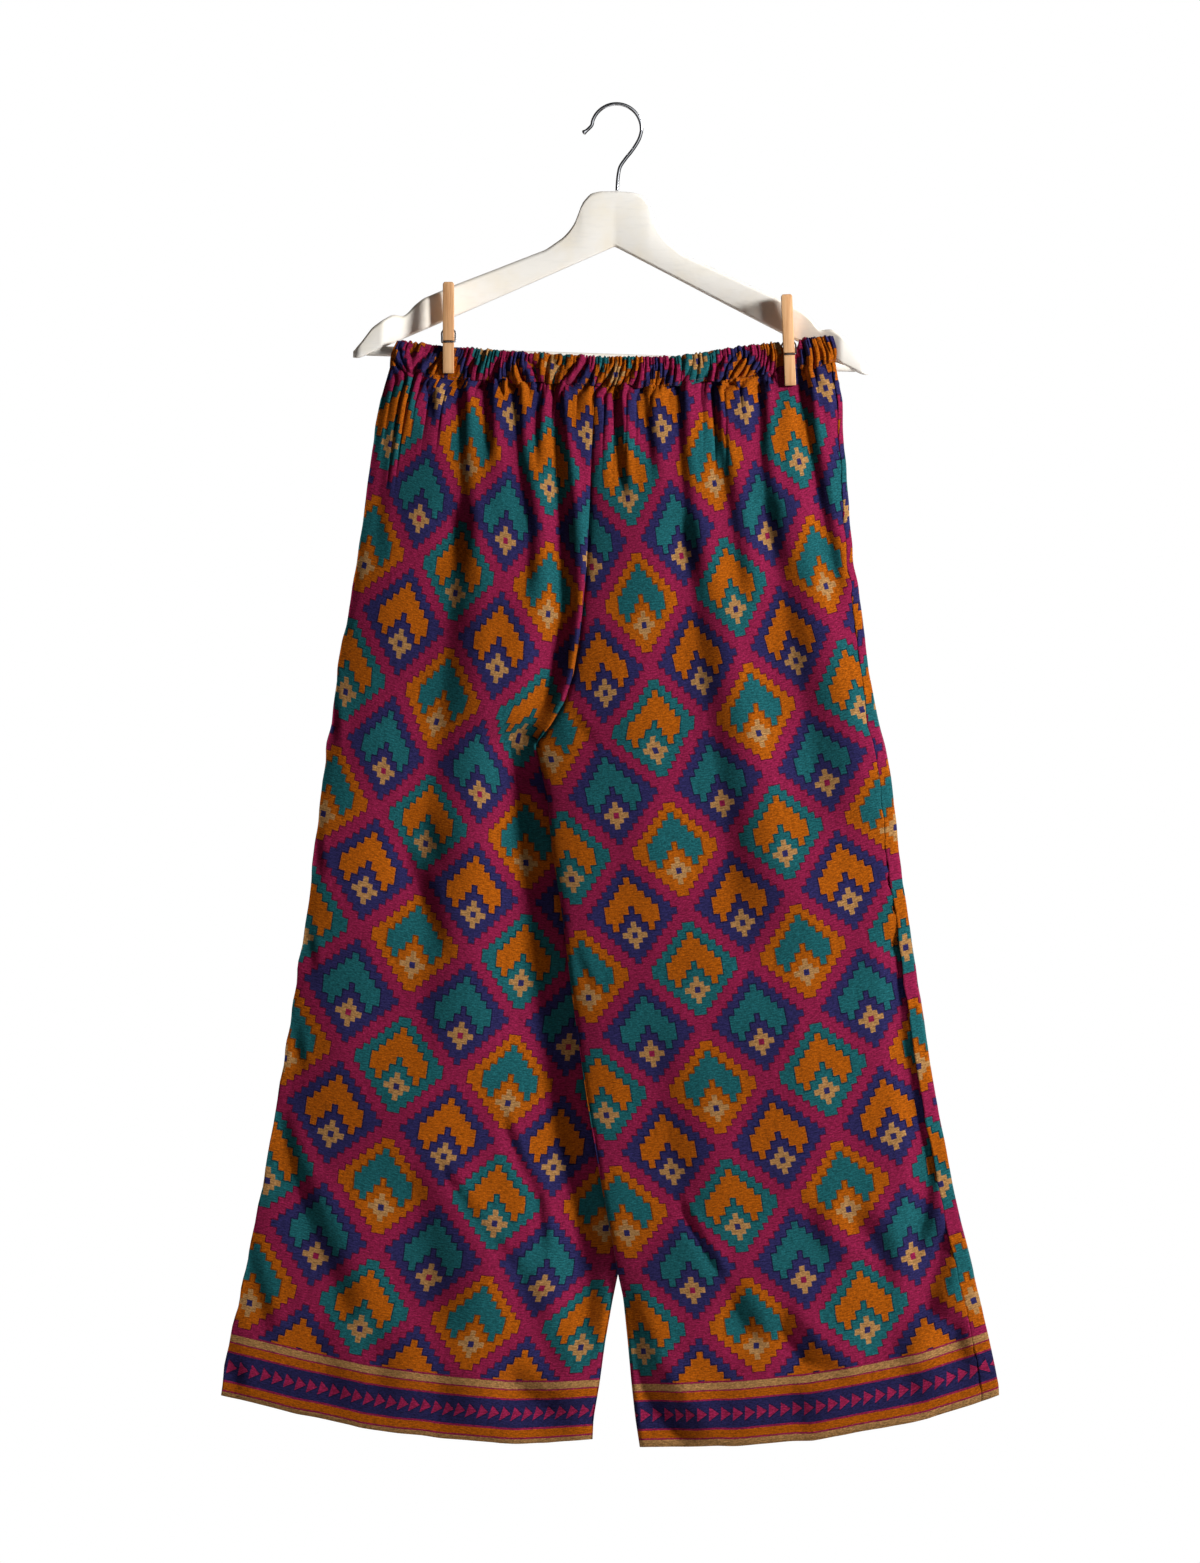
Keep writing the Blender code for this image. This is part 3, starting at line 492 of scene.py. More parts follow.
class Nodes:
    """A node tree, with short ways to add to it."""

    def __init__(self, owner):
        owner.use_nodes = True
        self.nodes, self.links = owner.node_tree.nodes, owner.node_tree.links

    def feed(self, socket, value):
        if isinstance(value, Value):
            self.links.new(value.socket, socket)
        elif hasattr(value, "__len__"):
            socket.default_value = (*value, 1.0)[: len(socket.default_value)]
        else:
            socket.default_value = value

    def add(self, kind, feeds=(), output=0, **settings):
        """Adds a node, feeds its inputs from (input, value) pairs and gives one of its outputs."""
        node = self.nodes.new("ShaderNode" + kind)
        for name, setting in settings.items():
            setattr(node, name, setting)
        for place, value in feeds:
            self.feed(node.inputs[place], value)
        return Value(self, node.outputs[output])

    def math(self, operation, *values):
        return self.add("Math", enumerate(values), operation=operation)

    def parts(self, vector):
        """The x, y and z of a vector."""
        first = self.add("SeparateXYZ", [(0, vector)])
        return [Value(self, part) for part in first.socket.node.outputs]

    def pick(self, share, first, second, blend="MIX"):
        """The first colour where share is 0, the second where it is 1."""
        feeds = (0, share), (6, first), (7, second)
        return self.add("Mix", feeds, 2, data_type="RGBA", blend_type=blend)

    def spread(self, value, low, high, to_low=0.0, to_high=1.0):
        """The value moved from one range to another, and held within it."""
        return self.add("MapRange", enumerate((value, low, high, to_low, to_high)))


class Finish(Nodes):
    """A material."""

    def __init__(self, name, **sockets):
        self.material = bpy.data.materials.new(name)
        super().__init__(self.material)
        self.wear(**sockets)

    def place(self):
        return self.add("TexCoord", output="Object")

    def noise(self, vector, sizes, detail=2.0, roughness=0.5):
        """Noise with this many bumps a metre along each axis."""
        vector = self.add("Mapping", (("Vector", vector), ("Scale", sizes)))
        feeds = ("Vector", vector), ("Scale", 1.0), ("Detail", detail), ("Roughness", roughness)
        return self.add("TexNoise", feeds, "Fac")

    def bump(self, height, distance, strength, *normal):
        feeds = ("Height", height), ("Strength", strength), ("Distance", distance)
        return self.add("Bump", (*feeds, *(("Normal", below) for below in normal)))

    def wear(self, **sockets):
        for socket, value in sockets.items():
            self.feed(self.nodes["Principled BSDF"].inputs[socket.replace("_", " ")], value)
        return self.material


def dimmed(colour, share):
    return tuple(channel * share for channel in colour)


def nearest_repeat(value):
    """The value from the middle of the nearest repeat, and that repeat's number."""
    count = math.floor(value / REPEAT + 0.5)
    return value - count * REPEAT, count


def stepped_leaf(x, y, grown):
    """1 inside the stepped leaf in each diamond, grown all round by this share of a cell."""
    shoulder = (math.floor((y + (5.5 + grown)) / 1.06) + 0.5).least(4.5)
    body = (x < shoulder + grown) & (y > -5.5 - grown) & (y < 1.28 + grown)
    legs = (abs(x - 3.0) < 0.5 + grown) & (abs(y - 1.9) < 0.63 + grown)
    notch_steps = math.floor((y + (1.2 - grown)) / 1.23)
    notch = (x < notch_steps + (0.5 - grown)) & (y > -1.2 + grown) & (y < 2.5)
    return (body | legs) & (1.0 - notch)


def stepped_diamond(x, y, shift, grown):
    """1 inside a diamond of whole cells, or of cells counted from its middle, grown all round."""
    across, up = (math.floor((abs(place) - grown).most(0.0) + shift) for place in (x, y))
    return across + up < DIAMOND_STEPS + (0.5 if shift == 0.5 else 1.5)


def stepped_diamonds(finish, across, up, colours):
    """The stepped diamonds of the field. across and up count cells from the border's top edge."""
    magenta, navy, teal, orange, beige = colours
    # Navy diamonds at the corners of the repeat, drawn in whole cells, and light ones between
    # them, drawn in half cells.
    near_x, _ = nearest_repeat(across)
    near_y, dark_row = nearest_repeat(up + 1.0)
    far_x, column = nearest_repeat(across - REPEAT / 2)
    far_y, row = nearest_repeat(up - (REPEAT / 2 - 1))
    in_dark, round_dark = (stepped_diamond(near_x, near_y, 0.5, line) for line in (0.0, EDGE_LINE))
    in_light, round_light = (stepped_diamond(far_x, far_y, 1.0, line) for line in (0.0, EDGE_LINE))
    in_any = in_dark | in_light
    dark_odd, light_odd = dark_row % 2.0, (column + row) % 2.0
    # The leaf and the flower inside each, from its own centre, with down positive.
    x, y = abs(mix(far_x, near_x, in_dark)), mix(far_y, near_y, in_dark) * -1.0
    flower_y = abs(y - 3.2)
    nearer, further = x.least(flower_y), x.most(flower_y)
    flower = (further < 1.15) | ((nearer < 0.42) & (further < 2.05))
    ground = finish.pick(round_dark | round_light, magenta, dimmed(magenta, 0.4))
    outer = finish.pick(in_dark, finish.pick(light_odd, teal, orange), navy)
    colour = finish.pick(in_any, ground, outer)
    for inside, layer in (
        (stepped_leaf(x, y, OUTLINE), finish.pick(0.55, colour, (0.0, 0.0, 0.0))),
        (
            stepped_leaf(x, y, 0.0),
            finish.pick(mix(1.0 - light_odd, 1.0 - dark_odd, in_dark), teal, orange),
        ),
        (flower, beige),
        (further < 0.45, finish.pick(in_dark & dark_odd, navy, magenta)),
    ):
        colour = finish.pick(inside & in_any, colour, layer)
    return colour


def border_stripes(finish, u, v, colours):
    """The border along the hem. u and v are millimetres, v from its top edge down."""
    palette = dict(zip(PRINT_COLOURS, colours))
    whole = sum(height for height, _ in BORDER)
    ramp = finish.add("ValToRGB", [(0, v / whole)])
    bands = ramp.socket.node.color_ramp
    bands.interpolation = "CONSTANT"
    bands.elements.remove(bands.elements[1])
    top = 0.0
    for height, name in BORDER:
        stop = bands.elements.new(top / whole) if top else bands.elements[0]
        # Each stripe's colour is darkened here: painted shade for the dimmer light near the hem,
        # the navy darker still.
        stop.color = (*dimmed(palette[name], BORDER_PAINTED_SHADE[name == "navy"]), 1.0)
        if name == "navy":
            band_middle = top + height / 2
        top += height
    rise = v - band_middle
    along = (rise * TRIANGLE_LEAN + u) % TRIANGLE_PITCH
    room = along * (-TRIANGLE_HALF_HEIGHT / TRIANGLE_LENGTH) + TRIANGLE_HALF_HEIGHT
    aside = abs(rise)
    band = finish.pick(aside < room + 0.5, ramp, dimmed(palette["navy"], 0.45))
    return finish.pick(aside < room - 0.5, band, dimmed(palette["magenta"], 1.05))


def printed_cloth():
    """Woven cloth with a stepped-diamond print, read from the cloth's own UV map in metres."""
    settings = bpy.context.scene.pants_cloth
    finish = Finish(PRINT, Specular_IOR_Level=0.04, Sheen_Weight=0.04)
    colours = [tuple(getattr(settings, name)) for name in PRINT_COLOURS]
    uv = finish.add("UVMap", uv_map=CLOTH_UV)
    across, up, _ = finish.parts(uv)
    # The printed edges follow the threads, so they are a little ragged.
    ragged = finish.noise(uv, (700, 900, 1), 1.0) - 0.5
    across = ragged * 0.22 + across / settings.cell_width
    up = ragged * 0.16 + up / settings.cell_height
    field = stepped_diamonds(finish, across, up, colours)
    v = up * (-settings.cell_height / MM)
    border = border_stripes(finish, across * (settings.cell_width / MM), v, colours)
    # Slubs of the weft, flecks between the threads, and uneven dye.
    slub = finish.noise(uv, (230, 900, 1), 2.0, 0.6)
    fleck = finish.noise(uv, (620, 880, 1), 1.0, 0.6)
    dye = finish.noise(uv, (14, 14, 1), 3.0)
    shade = finish.spread(slub, 0.34, 0.66, 0.64, 1.3)
    shade = shade * finish.spread(fleck, 0.33, 0.67, 0.74, 1.25)
    shade = shade * finish.spread(dye, 0.3, 0.7, 0.93, 1.06)
    shade = finish.add("CombineColor", enumerate((shade, shade, shade)))
    colour = finish.pick(1.0, finish.pick(v > 0.0, field, border), shade, "MULTIPLY")
    threads = finish.add("Mapping", (("Vector", uv), ("Scale", (2400, 2400, 1))))
    threads = finish.add("TexChecker", (("Vector", threads), ("Scale", 1.0)), "Fac")
    normal = finish.bump(slub, 0.25 * MM, 0.6, finish.bump(threads, 0.06 * MM, 0.35))
    rough = finish.spread(slub, 0.3, 0.7, 0.92, 0.8)
    return finish.wear(Base_Color=colour, Roughness=rough, Normal=normal)


def lacquered_wood():
    lacquer = tuple(bpy.context.scene.pants_hanger.lacquer)
    finish = Finish("lacquered_wood", Coat_Weight=0.35, Coat_Roughness=0.12)
    place = finish.place()
    brushed = finish.noise(place, (60, 400, 400), 3.0)
    patches = finish.noise(place, (35, 35, 35), 3.0)
    yellowed = [channel * share for channel, share in zip(lacquer, (0.97, 0.93, 0.84))]
    colour = finish.pick(finish.spread(patches, 0.4, 0.75), lacquer, yellowed)
    colour = finish.pick(finish.spread(brushed, 0.55, 0.8, 0, 0.4), colour, dimmed(lacquer, 0.84))
    rough = finish.spread(patches, 0.3, 0.7, 0.3, 0.45)
    return finish.wear(
        Base_Color=colour, Roughness=rough, Normal=finish.bump(brushed, 0.12 * MM, 0.4)
    )


def bright_wire(name, colour, rough, streaks):
    """Drawn and plated wire, a little dull and dark here and there."""
    finish = Finish(name, Metallic=1.0)
    dull = finish.noise(finish.place(), (120, 120, 120), 3.0)
    return finish.wear(
        Base_Color=finish.pick(finish.spread(dull, 0.45, 0.8), colour, dimmed(colour, streaks)),
        Roughness=finish.spread(dull, 0.3, 0.75, rough, rough + 0.14),
    )


def peg_wood():
    """Untreated light wood with its grain upright."""
    settings = bpy.context.scene.pants_pegs
    finish = Finish("peg_wood", Specular_IOR_Level=0.35)
    place = finish.place()
    fibres = finish.noise(place, (1500, 900, 45), 3.0, 0.6)
    bands = finish.noise(place, (420, 200, 14))
    colour = finish.pick(finish.spread(bands, 0.42, 0.72, 0, 0.75), settings.wood, settings.grain)
    dark = dimmed(settings.grain, 0.55)
    return finish.wear(
        Base_Color=finish.pick(finish.spread(fibres, 0.58, 0.78, 0, 0.5), colour, dark),
        Roughness=finish.spread(fibres, 0.3, 0.7, 0.5, 0.72),
        Normal=finish.bump(fibres, 0.15 * MM, 0.5),
    )


def sewing_thread():
    magenta = bpy.context.scene.pants_cloth.magenta
    finish = Finish("sewing_thread", Roughness=0.7, Sheen_Weight=0.2)
    twist = finish.noise(finish.place(), (3000, 3000, 3000), 1.0)
    return finish.wear(Base_Color=finish.pick(twist, magenta, dimmed(magenta, 0.5)))


# ---------------------------------------------------------------- meshes


def as_data(name, mesh):
    data = bpy.data.meshes.new(name)
    mesh.to_mesh(data)
    mesh.free()
    return data


def show(name, data, finish):
    """Makes the mesh a piece of the model that rides with the whole of it."""
    if isinstance(data, bmesh.types.BMesh):
        data = as_data(name, data)
    data.shade_smooth()
    data.materials.clear()
    data.materials.append(finish)
    piece = bpy.data.objects.new(name, data)
    bpy.context.scene.collection.objects.link(piece)
    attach(piece, "root")
    return piece


def grid_mesh(name, points, uv=None):
    """A grid whose rows and columns take these points, in mm, with the first row lowest."""
    rows, columns = points.shape[0] - 1, points.shape[1] - 1
    grid = bmesh.new()
    bmesh.ops.create_grid(grid, x_segments=columns, y_segments=rows, size=0.5)
    data = as_data(name, grid)
    flat = np.empty(len(data.vertices) * 3, np.float32)
    data.vertices.foreach_get("co", flat)
    column = np.rint((flat[0::3] + 0.5) * columns).astype(int)
    row = np.rint((flat[1::3] + 0.5) * rows).astype(int)
    data.vertices.foreach_set("co", (points[row, column] * MM).astype(np.float32).ravel())
    if uv is not None:
        corner = np.empty(len(data.loops), np.int32)
        data.loops.foreach_get("vertex_index", corner)
        layer = data.uv_layers.new(name=CLOTH_UV)
        layer.data.foreach_set("uv", (uv[row, column][corner] * MM).astype(np.float32).ravel())
    data.update()
    return data


def joined(data):
    """The mesh with its seam merged and its open ends closed, facing outwards."""
    mesh = bmesh.new()
    mesh.from_mesh(data)
    bmesh.ops.remove_doubles(mesh, verts=mesh.verts, dist=0.002 * MM)
    bmesh.ops.holes_fill(mesh, edges=[edge for edge in mesh.edges if edge.is_boundary])
    bmesh.ops.recalc_face_normals(mesh, faces=mesh.faces)
    bpy.data.meshes.remove(data)
    return mesh


def tube(name, path, radii, sides):
    """A round wire through these points, in mm, closed at both ends."""
    path = np.array([tuple(point) for point in path], float)
    along = np.gradient(path, axis=0)
    along /= np.linalg.norm(along, axis=1)[:, None]
    across = np.cross(along[0], (0.3, 1.0, 0.2))
    rings = []
    turn = np.linspace(0, 2 * np.pi, sides + 1)
    for centre, heading, radius in zip(path, along, np.broadcast_to(radii, len(path))):
        across = across - heading * across.dot(heading)
        across /= np.linalg.norm(across)
        beside = np.cross(heading, across)
        ring = np.outer(np.cos(turn), across) + np.outer(np.sin(turn), beside)
        rings.append(centre + ring * radius)
    return joined(grid_mesh(name, np.array(rings)))


def curve_through(points, steps):
    """A smooth path through these points, steps of it between each two."""
    points = [Vector(point) for point in points]
    path = []
    for index, (first, second) in enumerate(zip(points, points[1:])):
        before, after = points[max(index - 1, 0)], points[min(index + 2, len(points) - 1)]
        for step in range(steps):
            share = step / steps
            place = 2 * first + (second - before) * share
            place += (2 * before - 5 * first + 4 * second - after) * share**2
            path.append(0.5 * (place + (3 * first - before - 3 * second + after) * share**3))
    return [*path, points[-1]]


# ---------------------------------------------------------------- cloth


def hump(value, reach):
    """1 where the value is 0, falling to near 0 at twice the reach."""
    return np.exp(-((value / reach) ** 2))


def pressed(x, drop, around=PRESS_REACH):
    """1 where a peg presses the cloth, fading to 0 this far beside and below it."""
    share = np.zeros(np.broadcast(x, drop).shape)
    for _, peg_x, pivot_drop, _ in PEGS:
        beside = np.exp(-(((x - peg_x) / around[0]) ** 4))
        below = smooth(1 - (drop - pivot_drop - PEG_BELOW - 3) / around[1])
        share = np.maximum(share, beside * below)
    return share


def waist_front(x, drop, wall):
    """y of the middle of the front cloth at the waist."""
    inside = WAIST_BOW * np.maximum(0.0, 1 - (x / BOW_HALF) ** 2)
    outside = WAIST_TIP_LIFT * smooth((np.abs(x) - BOW_HALF) / TIP_LIFT_LENGTH)
    pivot_drop = np.where(x < 0, PEGS[0][2], PEGS[1][2])
    jaw_face = PEG_PLANE - PEG_HALF_GAP - PEG_SPLAY * (drop - pivot_drop)
    free = WAIST_FRONT - inside - outside
    return mix(free, jaw_face + SEAM_GAP + wall / 2, pressed(x, drop))


def waist_back(x, drop):
    """y of the middle of the back cloth at the waist, where the bar lies behind it."""
    return mix(WAIST_BACK, WAIST_BACK_HELD, pressed(x, drop))


def waist_top(x):
    """Drop of the waistband's top edge, which dips under each peg's spring."""
    top = np.interp(x, WAIST_X, WAIST_TOP)
    for _, peg_x, pivot_drop, _ in PEGS:
        clear = pivot_drop + COIL_RADIUS + SPRING_WIRE_RADIUS + NOTCH_MARGIN
        top = mix(top, np.maximum(top, clear), np.exp(-(((x - peg_x) / NOTCH_REACH) ** 10)))
    return top


def rumple(first, size, seed, second=0.0):
    """Soft unevenness between -1 and 1, whose bumps are about this size apart."""
    values = np.random.default_rng(seed).uniform(-1, 1, (64, 64))
    first, second = first / size + 500.0, second / size + 500.0
    i, j = np.floor(first).astype(int), np.floor(second).astype(int)
    s, t = smooth(first - i), smooth(second - j)
    low = mix(values[i % 64, j % 64], values[(i + 1) % 64, j % 64], s)
    high = mix(values[i % 64, (j + 1) % 64], values[(i + 1) % 64, (j + 1) % 64], s)
    return mix(low, high, t)


class Gathers:
    """The uneven pleats of the elasticated waist on one face, the same above and below its seam."""

    def __init__(self, face, pitch, wander, lengths):
        draw = np.random.default_rng(int(pitch * 10) + face)
        self.face, self.pitch, self.wander = face, pitch, wander
        self.depth = draw.uniform(0.2, 1.2, 90)
        self.length = mix(*lengths, draw.uniform(0, 1, 90) ** 2)
        self.lean = draw.uniform(-0.5, 0.5, 90)

    def at(self, flat_x, above):
        """Depth of the pleat here, the length it fades over, and its rounded ridge."""
        count = (flat_x + 200.0) / self.pitch
        for reach, length, shift in self.wander:
            count = count + reach * np.sin(flat_x / length + shift + self.face)
        whole = np.floor(count).astype(int)
        lean = mix(self.lean[whole % 90], self.lean[(whole + 1) % 90], count - whole)
        lean = lean + 1.9 * rumple(flat_x, 37, 3 + self.face)
        count = count + lean * np.clip(above, -9.0, 20.0) / 20.0
        whole = np.floor(count).astype(int)
        ridge = 1 - np.abs(2 * (count - whole) - 1) ** 2.2
        return self.depth[whole % 90], self.length[whole % 90], ridge - 0.6

    def relief(self, flat_x, below):
        """Height of the cloth below the seam, as a share of the deepest pleat."""
        depth, length, ridge = self.at(flat_x, -below)
        return depth * ridge * np.clip(1 - below / length, 0, 1) ** 1.2


def pleats(face):
    """The fine pleats, the broad ones and the crinkles of one face."""
    return (
        Gathers(face, FINE_PITCH, FINE_WANDER, FINE_LENGTHS),
        Gathers(face, BROAD_PITCH, BROAD_WANDER, BROAD_LENGTHS),
        Gathers(face, CRINKLE_PITCH, FINE_WANDER, FINE_LENGTHS),
    )


def seam_wander(flat_x, face, from_seam):
    """How far the seam under the casing wanders down, and the cloth near it, in mm."""
    reach, size, fade = SEAM_WANDER
    return reach * rumple(flat_x, size, 41 + face) * smooth(1 - from_seam / fade)


def beside_path(x, drop, points):
    """How far to the right of a path each place is, its share along it, and the path's length."""
    path = np.array(points, float)
    runs = np.linalg.norm(np.diff(path, axis=0), axis=1)
    nearest = np.full(x.shape, 1e9)
    aside, along = np.zeros(x.shape), np.zeros(x.shape)
    for start, end, run, begun in zip(path[:-1], path[1:], runs, np.cumsum(runs) - runs):
        heading = (end - start) / run
        step = (x - start[0]) * heading[0] + (drop - start[1]) * heading[1]
        step = np.clip(step, 0, run)
        off_x, off_drop = x - start[0] - heading[0] * step, drop - start[1] - heading[1] * step
        distance = np.hypot(off_x, off_drop)
        closer = distance < nearest
        nearest = np.where(closer, distance, nearest)
        side = np.sign(off_x * heading[1] - off_drop * heading[0])
        aside = np.where(closer, distance * side, aside)
        along = np.where(closer, (begun + step) / runs.sum(), along)
    return aside, along, runs.sum()


def print_up(half, share, down):
    """How far up the printed cloth each place is, in mm from the border's top edge."""
    length, extra, slack = WEFT[half]
    rise, peak = WEFT_WAVE[half]
    up = (1 - down) * (length + extra * share + WEFT_CURVE * share**2) - BORDER_HEIGHT
    up = up - slack * np.maximum(0.0, WAIST_SLACK_SHARE - down)
    return up + rise * np.cos(2 * np.pi * (down - peak))


class LegPanel:
    """One leg panel, whose place runs as the solid's does: -1 at the inner edge, across the front
    to 0 at the outline, and across the back to 1; down runs from the waist seam to the hem."""

    def __init__(self, half, face):
        self.half, self.face = half, face
        first = half < 0
        self.side_x, self.inner_x, self.inseam_y, self.hem = (
            (LEFT_SIDE, LEFT_INNER, LEFT_INSEAM, LEFT_HEM)
            if first
            else (RIGHT_SIDE, RIGHT_INNER, RIGHT_INSEAM, RIGHT_HEM)
        )
        self.top_side, self.top_inner = np.interp(
            (half * WAIST_HALF, CENTRE_SEAM_X), WAIST_X, WAIST_SEAM
        )
        self.fine, self.broad, _ = pleats(face)

    def edges(self, down):
        """x of the side and of the inner edge at this height, and the inner edge's drop."""
        side_drop = mix(self.top_side, self.hem[0], down)
        inner_drop = mix(self.top_inner, self.hem[-1], down)
        side, inner = (side_drop, self.side_x), (inner_drop, self.inner_x)
        return (*(np.interp(at, EDGE_DROP, edge) for at, edge in (side, inner)), inner_drop)

    def middle(self, place, down):
        """x, y and z of the middle of the cloth."""
        half, share, in_front = self.half, np.abs(place), place <= 0
        side_x, inner_x, inner_drop = self.edges(down)
        top = np.interp(mix(half * WAIST_HALF, CENTRE_SEAM_X, share), WAIST_X, WAIST_SEAM)
        drop = mix(top, np.interp(share, HEM_SHARE, self.hem), down)
        rise, bulge = (
            np.where(in_front, np.interp(at, DEPTH_DROP, front), np.interp(at, DEPTH_DROP, back))
            for at, front, back in (
                (inner_drop, FRONT_SEAM, BACK_SEAM),
                (drop, -FRONT_BULGE, BACK_BULGE),
            )
        )
        inseam = np.interp(inner_drop, DEPTH_DROP, self.inseam_y)
        inner_y = np.where(inner_drop < CROTCH_DROP, rise, inseam)
        sharpness = np.where(in_front & (half < 0) & (share < 0.5), FLAT_FRONT, TIP_SHARPNESS)
        crown = np.maximum(0.0, 4 * share * (1 - share)) ** sharpness
        edge_y = CLOTH_PLANE - (EDGE_FORWARD if half < 0 else 0.0) * (1 - share) ** 3
        leg_y = mix(edge_y, inner_y, share**INNER_REACH) + bulge * crown
        x = mix(side_x, inner_x, share)
        at_waist = np.where(in_front, waist_front(x, drop, LEG_WALL), waist_back(x, drop))
        at_waist = mix(CLOTH_PLANE - 0.6, at_waist, smooth(share / WAIST_TIP))
        y = mix(at_waist, leg_y, smooth((drop - top) / WAIST_TO_LEG))
        return np.stack([x, y, -drop], axis=-1)

    def folds(self, x, drop):
        """Height of the folds and creases."""
        total = np.zeros(x.shape)
        for width, depth, last_width, last_depth, *points in FOLDS[self.half, self.face]:
            aside, along, length = beside_path(x, drop, points)
            longest = FOLD_END_SHARE * length
            starts = smooth(along * length / max(2.5 * width, min(25.0, longest)))
            tail = max(8.0, min(longest, 3.5 * last_width + 20.0))
            ends = smooth((1 - along) * length / tail)
            reach, deep = mix(width, last_width, along), mix(depth, last_depth, along)
            aside = aside + 0.7 * reach
            trough = hump(aside, np.where(aside < 0, FOLD_SLOPE * reach, reach))
            ridge = FOLD_RIDGE * hump(aside / reach - 2.2, 1.0)
            total += deep * starts * ends * (ridge - trough)
        return total

    def surface(self, columns, rows):
        """Points of the cloth with its gathers, creases and seams, and its print's UV, in mm."""
        # Seen from outside, with the hem in the first row.
        half, face = self.half, self.face
        run, fall = np.linspace(0, 1, columns + 1), np.linspace(1, 0, rows + 1)
        run = run if half * face > 0 else 1 - run
        across, down = np.meshgrid(run, 0.4 * fall + 0.6 * fall**2)
        place = mix(np.interp(down, SIDE_SEAM_AT, SIDE_SEAM[half]), face, across)
        base = self.middle(place, down)
        step = 1e-4
        high, low = np.minimum(1.0, place + step), np.maximum(-1.0, place - step)
        above, below = np.maximum(0.0, down - step), np.minimum(1.0, down + step)
        along = self.middle(high, down) - self.middle(low, down)
        downwards = self.middle(place, below) - self.middle(place, above)
        outward = np.cross(along, downwards) * -half
        outward /= np.linalg.norm(outward, axis=-1, keepdims=True)
        x, drop, share = base[..., 0], -base[..., 2], np.abs(place)
        flat_x = mix(half * WAIST_HALF, CENTRE_SEAM_X, share)
        below_seam = drop - np.interp(flat_x, WAIST_X, WAIST_SEAM)
        side_x, inner_x, inner_drop = self.edges(down)
        width = np.abs(side_x - inner_x)
        from_side, from_inner = across * width, (1 - across) * width
        free = 1 - pressed(x, drop, LOOSE_REACH)
        near_side = smooth(across / 0.04)
        height = FINE_RELIEF * self.fine.relief(flat_x, below_seam)
        height += BROAD_RELIEF * self.broad.relief(flat_x, below_seam)
        height *= free * near_side * mix(PINCH, 1.0, smooth(below_seam / PINCH_FADE))
        # The folds die out at the outline, and at the inner edge where the legs are apart.
        crown = np.maximum(0.0, 4 * share * (1 - share)) ** TIP_SHARPNESS
        apart = np.where(inner_drop > CROTCH_DROP, smooth((1 - share) / 0.03), 1.0)
        seated = (share > 0.5) & (inner_drop < CROTCH_DROP)
        room = np.minimum(1.0, np.where(seated, 1.0, 1.6 * crown))
        height += self.folds(x, drop) * free * room * apart * smooth((1 - share) / 0.015)
        puff = smooth(below_seam / 20.0) * hump(below_seam, 75.0)
        height += WAIST_PUFF * puff * (1 - pressed(x, drop)) * near_side
        slack = smooth((drop - 300) / 150)
        height += WAVE[0] * rumple(x, WAVE[1], 5 + face, drop / 2.0) * slack * near_side
        height += CRUMPLE[0] * rumple(x, CRUMPLE[1], 9 + face, drop) * slack
        # Seams roll the cloth inwards, and the hem is turned up once.
        pucker = 0.5 + 0.5 * np.sin(drop / 3.1 + 2.0 * np.sin(drop / 17.0))
        tight = 0.3 + 0.9 * pucker * (0.6 + 0.4 * rumple(drop, 26, 51))
        height -= SEAM_ROLL * np.exp(-from_side / SEAM_ROLL_WIDTH) * tight
        height -= SEAM_ROLL * np.exp(-from_inner / SEAM_ROLL_WIDTH) * (0.75 + 0.5 * pucker)
        height -= SEAM_DENT * np.exp(-below_seam / SEAM_DENT_WIDTH)
        height += HEM_WAVE[0] * rumple(x, HEM_WAVE[1], 17 + face) * smooth((drop - 1000) / 110)
        above_hem = np.interp(share, HEM_SHARE, self.hem) - drop
        height += HEM_STEP * smooth((HEM_TURN - above_hem) / 1.5) * smooth(above_hem / 2.5 + 0.4)
        height -= 0.35 * hump(above_hem - HEM_TURN, 1.6) * (0.6 + 0.8 * pucker)
        straight = np.exp(-np.minimum(from_side, from_inner) / 6.0)[..., None]
        outward = mix(outward, np.array((0.0, face, 0.0)), straight)
        points = base + outward * height[..., None]
        points[..., 1] += np.where((across >= 1.0) | (across <= 0.0), face * 0.1, 0)
        points[..., 2] += HEM_RIPPLE[0] * rumple(x, HEM_RIPPLE[1], 61) * smooth((drop - 1060) / 60)
        edge = np.exp(-from_side / 9.0) * smooth((drop - 240) / 40)
        points[..., 0] += EDGE_CRUMPLE[0] * rumple(drop, EDGE_CRUMPLE[1], 71 + half) * edge
        points[..., 2] -= seam_wander(flat_x, face, below_seam)
        return points, self.print_place(points, place, down)

    def print_place(self, points, place, down):
        """Where each point lies on the flat printed cloth, in mm from the border's top edge."""
        steps = np.linalg.norm(np.diff(points[..., :2], axis=1), axis=-1)
        arc = np.concatenate([np.zeros((len(points), 1)), np.cumsum(steps, axis=1)], axis=1)
        # Measured from the outline to the inner edge, whichever way the columns run.
        signed = place * self.face
        order = slice(None) if signed[0, 0] < signed[0, -1] else slice(None, None, -1)
        outline, inner = (
            np.array([np.interp(end, row[order], run[order]) for row, run in zip(signed, arc)])
            for end in (0.0, 1.0)
        )
        share = (arc - outline[:, None]) / (inner - outline)[:, None]
        share = mix(signed, share, mix(0.3, 0.5, smooth(down / 0.08)))
        knots, side, inner_edge = np.array(WARP[self.half], float).T
        u = mix(np.interp(down, knots, side), np.interp(down, knots, inner_edge), share)
        return np.stack([u + PRINT_SHIFT[self.half], print_up(self.half, np.abs(share), down)], -1)


